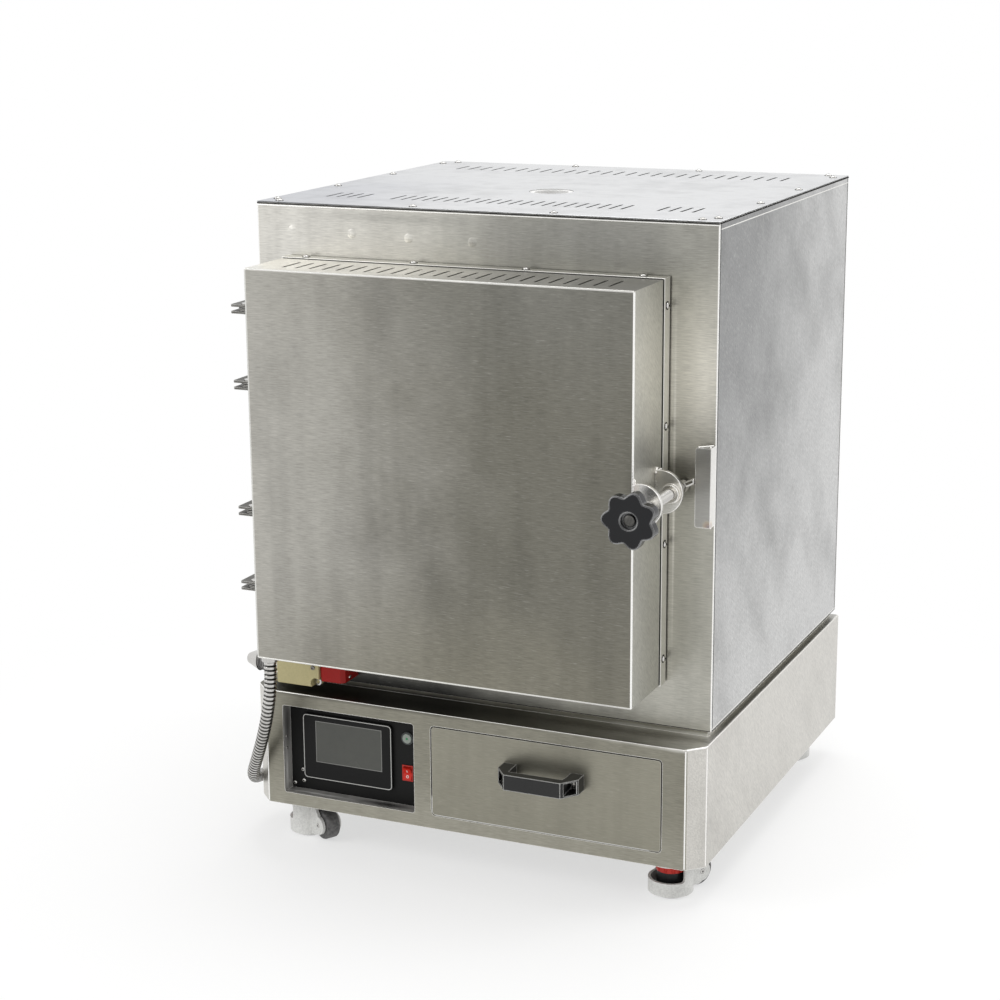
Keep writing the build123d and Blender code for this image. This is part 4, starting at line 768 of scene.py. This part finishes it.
def screwHead(place, axis, size=1):
    # a domed head with a hexagonal socket
    r, h = screw["radius"] * size, screw["height"] * size
    bm = turned([(0, r), (0.35 * h, r), (0.72 * h, 0.86 * r), (0.93 * h, 0.64 * r), (h, 0.52 * r)],
                (0, 0, 0), (0, 0, 1), 20)
    rim = [e for e in bm.edges if len(e.link_faces) == 1 and e.verts[0].co.z > 0.9 * h * mm]
    hexagon = edgesOf(bmesh.ops.create_circle(bm, segments=6, radius=screw["socket"] * size * mm,
                                              matrix=shift((0, 0, h * mm)))["verts"])
    bmesh.ops.bridge_loops(bm, edges=rim + hexagon)
    floor = pull(bm, (0, 0, -screw["depth"] * size), hexagon)
    bmesh.ops.contextual_create(bm, geom=floor)
    return stand(faceOut(bm), place, axis)


def screwShadowRing(place, axis):
    # the dark ring under a head: a painted shadow round it
    r, h = screw["washer"], screw["shadowRingHeight"]
    return turned([(-0.3, r), (0.6 * h, r), (h, r - 0.2), (h, 0.5 * r)], place, axis, 20)


coverScrews = {"sides": [12, 588], "rows": [30, 190, 350, 510], "ends": [12, 533],
               "columns": [25, 208.33, 391.67, 575], "rear": [40, 216.67, 393.33, 570]}
doorScrews = {"middle": (293.5, 301), "pitch": (146.5, 141.4), "rimY": -12, "rim": (542.5, 56.5, 545.5)}


def makeScrews():
    cover = [((x, y, 610), (0, 0, 1)) for x in coverScrews["sides"] for y in coverScrews["rows"]]
    cover += [((x, y, 610), (0, 0, 1)) for y in coverScrews["ends"] for x in coverScrews["columns"]]
    cover += [((x, 545, z), (0, 1, 0)) for x in coverScrews["sides"] for z in coverScrews["rear"]]
    door = []
    y, (right, low, high) = doorScrews["rimY"], doorScrews["rim"]
    for k in (-1.5, -0.5, 0.5, 1.5):
        x, z = (middle + k * pitch for middle, pitch in zip(doorScrews["middle"], doorScrews["pitch"]))
        door += [((x, y, high), (0, 0, 1)), ((x, y, low), (0, 0, -1)), ((right, y, z), (1, 0, 0))]
    for body, places, node in (("cabinet", cover, "cover_screws"), ("door", door, "door_screws")):
        name = node.split("_")[0]
        heads = joined([screwHead(at(*place), axis) for place, axis in places])
        shadowRings = joined([screwShadowRing(at(*place), axis) for place, axis in places])
        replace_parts(addPiece(name + "ScrewHeads", heads, "screwSteel", body), node)
        addPiece(name + "ScrewShadowRings", shadowRings, "paintedShadow", body)


makeScrews()
print("screws made")


# Joints and folds along the sheets: dark rods as painted shadow in the joints, bright rods as painted
# highlights on the folds

def rodBetween(start, end, radius):
    # a round line that lies half in a sheet, closed at its ends
    start, end = at(*start), at(*end)
    length = (end - start).length / mm
    return turned([(0, 0), (0, radius), (length, radius), (length, 0)], start, (end - start).normalized(), 10)


# each body's width from the cabinet's left side to its mirror image
mirrors = {"cabinet": 600, "door": 587}
# body, finish, radius, lines drawn once, lines on the right that the left repeats
sheetLines = {
    # dark lines of painted shadow in the joints between sheets
    "coverJoint": ("cabinet", "paintedShadow", 0.85, [
        ((0.5, 0.2, 607.5), (599.5, 0.2, 607.5)), ((0.5, 544.8, 607.5), (599.5, 544.8, 607.5))],
        [((599.8, 0.5, 607.5), (599.8, 544.5, 607.5))]),
    "cornerJointShadows": ("cabinet", "paintedShadow", 0.55, [((1.5, 0.3, 0.6), (598.5, 0.3, 0.6))], [
        ((599.8, 3.5, 1), (599.8, 3.5, 606.6)), ((599.7, 2, 0.6), (599.7, 542, 0.6)),
        ((599.8, 541.5, 1), (599.8, 541.5, 606.6))]),
    "doorJoint": ("door", "paintedShadow", 0.8, [
        ((46.5, -21.7, 543.9), (540.5, -21.7, 543.9)), ((46.5, -21.7, 58.1), (540.5, -21.7, 58.1))],
        [((540.9, -21.7, 58.5), (540.9, -21.7, 543.5))]),
    # bright lines of painted highlight along the folds
    "frontFoldHighlights": ("cabinet", "highlightSteel", 1.1, [((1.5, 0.6, 605.4), (598.5, 0.6, 605.4))],
                   [((599, 1, 1.2), (599, 1, 606.2))]),
    "sideFoldHighlights": ("cabinet", "foldHighlightSteel", 0.9, [], [
        ((599.5, 4.5, 600.6), (599.5, 541, 600.6)), ((599.5, 2, 2.6), (599.5, 542, 2.6)),
        ((594.2, 8, -3.2), (594.2, 537, -3.2))]),
    "baseFoldHighlights": ("cabinet", "highlightSteel", 1.1, [], [
        ((584.2, -46, -160.5), (584.2, -46, -10.8)), ((603.8, -25.8, -160.5), (603.8, -25.8, -10.8))]),
    "rimFoldHighlights": ("cabinet", "highlightSteel", 0.8, [((16.5, -46.1, -9.6), (583.5, -46.1, -9.6))], [
        ((603.7, -24, -9.9), (603.7, 547, -9.9)), ((585, -45.2, -9.9), (603.2, -27, -9.9))]),
    "doorFold": ("door", "highlightSteel", 1.35, [((540.1, -114.1, 59), (540.1, -114.1, 543))], []),
    "doorFoldHighlights": ("door", "foldHighlightSteel", 1.3, [
        ((47, -114.1, 543.1), (540, -114.1, 543.1)), ((46.9, -114.1, 59), (46.9, -114.1, 543)),
        ((47, -114.1, 58.9), (540, -114.1, 58.9))], []),
}


def makeSheetLines():
    for name, (body, finish, radius, once, twice) in sheetLines.items():
        repeated = [[(mirrors[body] - x, y, z) for x, y, z in line] for line in twice]
        bm = joined([rodBetween(start, end, radius) for start, end in [*once, *twice, *repeated]])
        addPiece(name, bm, finish, body, smooth=50)


makeSheetLines()

spotMarks = {"places": [(49, 576), (131, 575), (208, 573), (292, 572)], "radius": 6.5, "rise": 0.55,
             "shape": [(0.1, 0.9), (0.5, 0.6), (0.9, 0.3), (1, 0)]}


def makeSpotMarks():
    # the shallow swellings where studs are welded behind the front sheet
    r, rise = spotMarks["radius"], spotMarks["rise"]
    profile = [(-0.2, r)] + [(share * rise, width * r) for share, width in spotMarks["shape"]]
    places = [turned(profile, at(x, 0, z), (0, -1, 0), 28) for x, z in spotMarks["places"]]
    addPiece("spotMarks", joined(places), "frontSteel", "cabinet", smooth=70)


makeSpotMarks()
print("joints, folds and spot marks made")


# Clamp

knob = {"x": 561, "z": 301, "front": -183, "thickness": 15, "lobes": 7, "outer": 33, "valley": 26.4,
        "fullness": 0.72, "steps": 140, "turn": 90, "recess": 9.5, "recessDepth": 6, "edge": 1.6,
        "neck": [(0, 0), (0, 15), (2, 15), (3.5, 13), (9, 12.4), (9, 0)],
        "boltEnd": [(-3.6, 0), (-3.6, 4.2), (-2.4, 6.4), (2, 6.6)], "boltEndDepth": 5}


def makeKnob():
    bm = bmesh.new()
    rim = bmesh.ops.create_circle(bm, segments=knob["steps"], radius=1)["verts"]
    for i, vert in enumerate(rim):
        crest = (0.5 + 0.5 * cos(knob["lobes"] * tau * i / knob["steps"])) ** knob["fullness"]
        vert.co *= (knob["valley"] + (knob["outer"] - knob["valley"]) * crest) * mm
    outline = edgesOf(rim)
    inner = edgesOf(bmesh.ops.create_circle(bm, segments=40, radius=knob["recess"] * mm)["verts"])
    bmesh.ops.bridge_loops(bm, edges=outline + inner)
    for edges, depth in ((inner, knob["recessDepth"]), (outline, knob["thickness"])):
        bmesh.ops.contextual_create(bm, geom=pull(bm, (0, 0, -depth), edges))
    soften(faceOut(bm), knob["edge"], sharper=60, segments=4)
    x, z, front = knob["x"], knob["z"], knob["front"]
    move(bm, shift(at(x, front, z)) @ frontward @ spin(knob["turn"], "Z"))
    neck = turned(knob["neck"], at(x, front + knob["thickness"], z), (0, 1, 0), 40)
    boltEnd = turned(knob["boltEnd"], at(x, front + knob["boltEndDepth"], z), (0, 1, 0), 24)
    # the bolt end in the knob's recess takes the dark ribShade finish: painted shade
    addPiece("knobBoltEndShade", boltEnd, "ribShade", "clamp")
    star = addPiece("starKnob", joined([bm, neck]), "blackPlastic", "clamp", smooth=40)
    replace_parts(star, "clamp_knob")


makeKnob()

bolt = {"ends": 5.9, "root": 5.95, "crest": 6.42, "pitch": 1.75, "flank": 0.5,
        "runs": [(-158, -116), (-108, -51)]}


def makeThreads():
    pitch, flank, root = bolt["pitch"], bolt["flank"], bolt["root"]
    runs = []
    for start, end in bolt["runs"]:
        count = int((end - start) / pitch)
        profile = [(0, bolt["ends"])]
        for k in range(count):
            middle = (k + 0.5) * pitch
            profile += [(middle - flank, root), (middle, bolt["crest"]), (middle + flank, root)]
        profile.append((count * pitch, bolt["ends"]))
        runs.append(turned(profile, at(knob["x"], start, knob["z"]), (0, 1, 0), 28))
    addPiece("clampThread", joined(runs), "brightSteel", "clamp", smooth=25)


makeThreads()
print("clamp made")


# Weld beads

def weldBead(bm, start, end, radius, seed):
    # a row of overlapping puddles along a joint, each a little different
    draw = random.Random(seed)
    start, end = at(*start), at(*end)
    count = max(2, int((end - start).length / (radius * mm * 0.85)))
    for k in range(count + 1):
        size = radius * mm * draw.uniform(0.85, 1.12)
        shape = shift(start.lerp(end, k / count)) @ Matrix.Rotation(draw.uniform(0, tau), 4, "Z")
        shape = shape @ Matrix.Diagonal((1, draw.uniform(0.85, 1), 0.7, 1))
        bmesh.ops.create_icosphere(bm, subdivisions=2, radius=size, matrix=shape)


welds = {
    "cabinetWelds": ("cabinet", [
        ((584, -14.5, 351.2), (597, -3, 351.2), 1.6), ((598.5, -16, 352), (598.5, -16, 349), 1.5),
        ((596, -2, 255.6), (599, -14, 255.6), 1.4), ((580.6, -0.4, 262), (580.6, -0.4, 276), 1),
        ((580.6, -0.4, 330), (580.6, -0.4, 344), 1)]),
    "doorWelds": ("door", [
        ((541.6, -113.5, 324), (541.6, -113.5, 330), 2.2),
        ((541.6, -110.5, 272), (541.6, -110.5, 276.5), 2),
        ((541.6, -43, 324), (541.6, -39, 328), 2.2), ((543, -42, 325), (547, -41, 328), 1.8),
        ((541.6, -41, 273), (541.6, -41, 277), 2), ((541.8, -108.6, 300), (541.8, -108.6, 322), 1.1)]),
}
hingeLevels = (482, 385.5, 222, 123)
# across, nearest and farthest depth, height over the hinge's level, radius, first seed
hingeWelds = {"cabinetWelds": [(-0.4, -1, 23, 0.2, 1.5, 20), (-0.4, -1, 23, -11.7, 1.5, 40)],
              "doorWelds": [(44.2, -20, -5, -4.2, 1.2, 60)]}


def makeWelds():
    for name, (body, runs) in welds.items():
        bm = bmesh.new()
        for k, (start, end, radius) in enumerate(runs):
            weldBead(bm, start, end, radius, k)
        for k, level in enumerate(hingeLevels):
            for x, near, far, rise, radius, seed in hingeWelds[name]:
                weldBead(bm, (x, near, level + rise), (x, far, level + rise), radius, seed + k)
        addPiece(name, bm, "weldedSteel", body, smooth=60)


makeWelds()
print("welds made")


# Control panel details

screen = {"x": (59.5, 187.5), "z": (-128, -40), "front": -31, "sunk": 0.6, "displayX": (78, 173),
          "displayZ": (-104.4, -48.4), "glassGap": 0.9, "glassRise": 0.25, "borderGap": 0.05,
          "border": 1, "borderRise": 0.45, "trimGap": 1, "trim": 0.9, "trimRise": 0.35, "trimCorner": 5}


def thicken(bm, vec):
    # a flat sheet becomes a plate
    pull(bm, vec)
    return faceOut(bm)


def plate(x, z, gap, y, depth, cornerRadius=0, rim=0):
    # a flat plate that faces the front, a gap inside its limits, perhaps with round corners or only its rim
    bm = flatPlate((x[0] + gap, x[1] - gap), (z[0] + gap, z[1] - gap), y, cornerRadius)
    if rim:
        sheet = bm.faces[:]
        bmesh.ops.inset_region(bm, faces=sheet, thickness=rim * mm, use_even_offset=True, use_boundary=True)
        bmesh.ops.delete(bm, geom=sheet, context="FACES")
    return thicken(bm, (0, -depth, 0))


def makeScreen():
    s = screen
    x, z, sunk = s["displayX"], s["displayZ"], s["front"] + s["sunk"]
    glass = plate(x, z, s["glassGap"], sunk, s["glassRise"])
    border = plate(x, z, s["borderGap"], sunk, s["borderRise"], rim=s["border"])
    trim = plate(s["x"], s["z"], s["trimGap"], s["front"], s["trimRise"], s["trimCorner"], s["trim"])
    addPiece("displayGlass", glass, "displayGlass", "cabinet")
    addPiece("displayBorder", border, "displayEdge", "cabinet")
    addPiece("bezelTrim", trim, "trimGrey", "cabinet")


# the rocker is tilted about its pivot, and each half of its paddle slants 3 mm over 7.8 mm
marks = {"x": 207.7, "front": -29.2, "pivot": (207.7, -24.2, -101.5), "tilt": 8, "slant": 22.62,
         "rise": 0.15, "bar": (207.2, 208.2), "barZ": (-99.6, -96), "ringZ": -105.4, "ring": 1.9,
         "ringHole": 1.15}
lamp = {"place": (208.6, -30.7, -54.5), "shape": [(0, 0), (0, 1.5), (-0.25, 1.3), (-0.35, 0)]}


def tiltAbout(place, angle):
    return shift(place) @ spin(angle, "X") @ shift(-place)


def makeMarks():
    # the ring and bar on the rocker, and the lamp in the button
    bar = plate(marks["bar"], marks["barZ"], 0, marks["front"], marks["rise"])
    ring = bmesh.new()
    circles = [bmesh.ops.create_circle(ring, segments=24, radius=marks[size] * mm)["verts"]
               for size in ("ring", "ringHole")]
    bmesh.ops.bridge_loops(ring, edges=edgesOf(circles[0] + circles[1]))
    thicken(ring, (0, 0, marks["rise"]))
    barPlace = at(marks["x"], marks["front"], sum(marks["barZ"]) / 2)
    ringPlace = at(marks["x"], marks["front"], marks["ringZ"])
    move(ring, shift(ringPlace) @ frontward)
    tilt = tiltAbout(at(*marks["pivot"]), marks["tilt"])
    for bm, place, slant in ((bar, barPlace, marks["slant"]), (ring, ringPlace, -marks["slant"])):
        move(bm, tilt @ tiltAbout(place, slant))
    addPiece("rockerMarks", joined([bar, ring]), "markWhite", "rocker")
    addPiece("buttonLamp", turned(lamp["shape"], at(*lamp["place"]), (0, 1, 0), 20), "greenLamp", "button")


recess = {"rivets": [(40, -38.5, -72), (40, -38.5, -88)],
          "rivet": [(0, 1.7), (0.5, 1.6), (0.9, 1), (1.05, 0)],
          "screws": [(56.5, -27, -119), (57.5, -27, -134), (44, -27, -139)], "screwSize": 0.75}


def makeRecessDetails():
    heads = [turned(recess["rivet"], at(*place), (1, 0, 0), 16) for place in recess["rivets"]]
    heads += [screwHead(at(*place), (0, -1, 0), recess["screwSize"]) for place in recess["screws"]]
    addPiece("recessFasteners", joined(heads), "brightSteel")


makeScreen()
makeMarks()
makeRecessDetails()
print("control panel made")


# Door switch details

switch = {"coverScrew": (83, -42, 27), "coverScrewSize": 0.8,
          "headScrews": [(126, -24, 15), (126, -24, 33)], "headScrewSize": 0.7,
          "mountScrew": (86.2, -33.6, 6.3),
          "mount": [(0, 4.6), (1, 4.6), (1.2, 4.3), (1.2, 2.4), (-1.5, 2.4), (-1.5, 0)],
          "gland": (-3.4, -21, 21), "ribs": 6, "pitch": 2.6,
          "rib": [(0, 11.5), (0.5, 13.4), (1.6, 13.4), (2.2, 11.5)]}


def makeSwitchDetails():
    dark = screwHead(at(*switch["coverScrew"]), (0, -1, 0), switch["coverScrewSize"])
    bright = [turned(switch["mount"], at(*switch["mountScrew"]), (0, -1, 0), 28)]
    bright += [screwHead(at(*place), (1, 0, 0), switch["headScrewSize"]) for place in switch["headScrews"]]
    x, y, z = switch["gland"]
    places = [at(x + k * switch["pitch"], y, z) for k in range(switch["ribs"])]
    rings = [turned(switch["rib"], place, (1, 0, 0), 40) for place in places]
    addPiece("switchCoverScrew", dark, "dullSteel")
    addPiece("switchScrews", joined(bright), "brightSteel")
    addPiece("glandRibs", joined(rings), "wheelNylon", "cabinet")


makeSwitchDetails()
print("switch details made")


# Caster axle ends

casters = {"front_left": (49.6, 3, -30), "front_right": (550.4, 3, 59), "back_left": (49.6, 508, 205),
           "back_right": (550.4, 508, 150)}
axle = {"floor": -214, "offset": 39, "height": 20.3, "half": 14,
        "shape": [(0, 3.3), (0.25, 3.2), (0.5, 2.6), (0.5, 1.3), (-0.6, 1.2), (-0.6, 0)]}


def makeAxleEnds():
    for name, (x, y, turn) in casters.items():
        swing = shift(at(x, y, axle["floor"])) @ spin(turn, "Z")
        pins = []
        for side in (-1, 1):
            place = Vector((axle["offset"], side * axle["half"], axle["height"])) * mm
            pins.append(turned(axle["shape"], place, (0, side, 0), 24))
        addPiece(camel("axleEnds_" + name), move(joined(pins), swing), "brightSteel", name + "_wheel")


makeAxleEnds()
print("casters made")


# Floor and light

stage = {"half": 14, "paint": (0.96, 0.96, 0.955), "shadowEnds": (0.36, 1.05), "glow": (0.58, 1)}


def makeStage():
    # a matt floor that fades to plain white away from the oven
    bm = bmesh.new()
    bmesh.ops.create_grid(bm, x_segments=1, y_segments=1, size=stage["half"])
    floor = linked("floor", meshOf(bm, "floor"))
    material, tree, shader = startMaterial()
    material.name = "floorPaint"
    feed(tree, shader, {"Base Color": stage["paint"], "Roughness": 0.9})
    away = vectorMath(tree, "LENGTH", objectSpot(tree))["Value"]
    fade = mapRange(tree, away, stage["shadowEnds"], stage["glow"])
    glow = addNode(tree, "Emission").outputs[0]
    mix = addNode(tree, "MixShader", {0: fade, 1: shader.outputs[0], 2: glow}).outputs[0]
    feed(tree, tree.nodes["Material Output"], {"Surface": mix})
    floor.data.materials.append(material)


lamps = {
    "overhead": {"place": (0.2, 0.4, 3.4), "aim": (0, 0, 0.4), "size": (2.6, 2.2), "power": 46},
    "leftFront": {"place": (-2.8, -2.4, 2.2), "aim": (0, 0, 0.4), "size": (1.8, 1.8), "power": 30},
    "rightBack": {"place": (2.8, 1.6, 1.9), "aim": (0, 0, 0.5), "size": (1.8, 2.2), "power": 26},
}
world = {"ambient": 0.72, "seen": 1}


def makeWorld():
    # white all round, a little dimmer as a light than as it is seen and mirrored
    sky = bpy.data.worlds.new("studio")
    scene.world = sky
    sky.use_nodes = True
    tree = sky.node_tree
    paths = addNode(tree, "LightPath").outputs
    seen = math(tree, "MAXIMUM", paths["Is Camera Ray"], paths["Is Glossy Ray"])
    seen = math(tree, "MAXIMUM", seen, paths["Is Transmission Ray"])
    strength = mapRange(tree, seen, (0, 1), (world["ambient"], world["seen"]))
    feed(tree, tree.nodes["Background"], {"Color": (1, 1, 1), "Strength": strength})


def makeLamps():
    for name, lamp in lamps.items():
        data = bpy.data.lights.new(name, "AREA")
        data.shape = "RECTANGLE"
        data.size, data.size_y = lamp["size"]
        data.energy = lamp["power"]
        turn = (Vector(lamp["aim"]) - Vector(lamp["place"])).to_track_quat("-Z", "Y").to_matrix().to_4x4()
        linked(name, data).matrix_world = shift(lamp["place"]) @ turn


makeStage()
makeWorld()
makeLamps()
print("stage and light made")
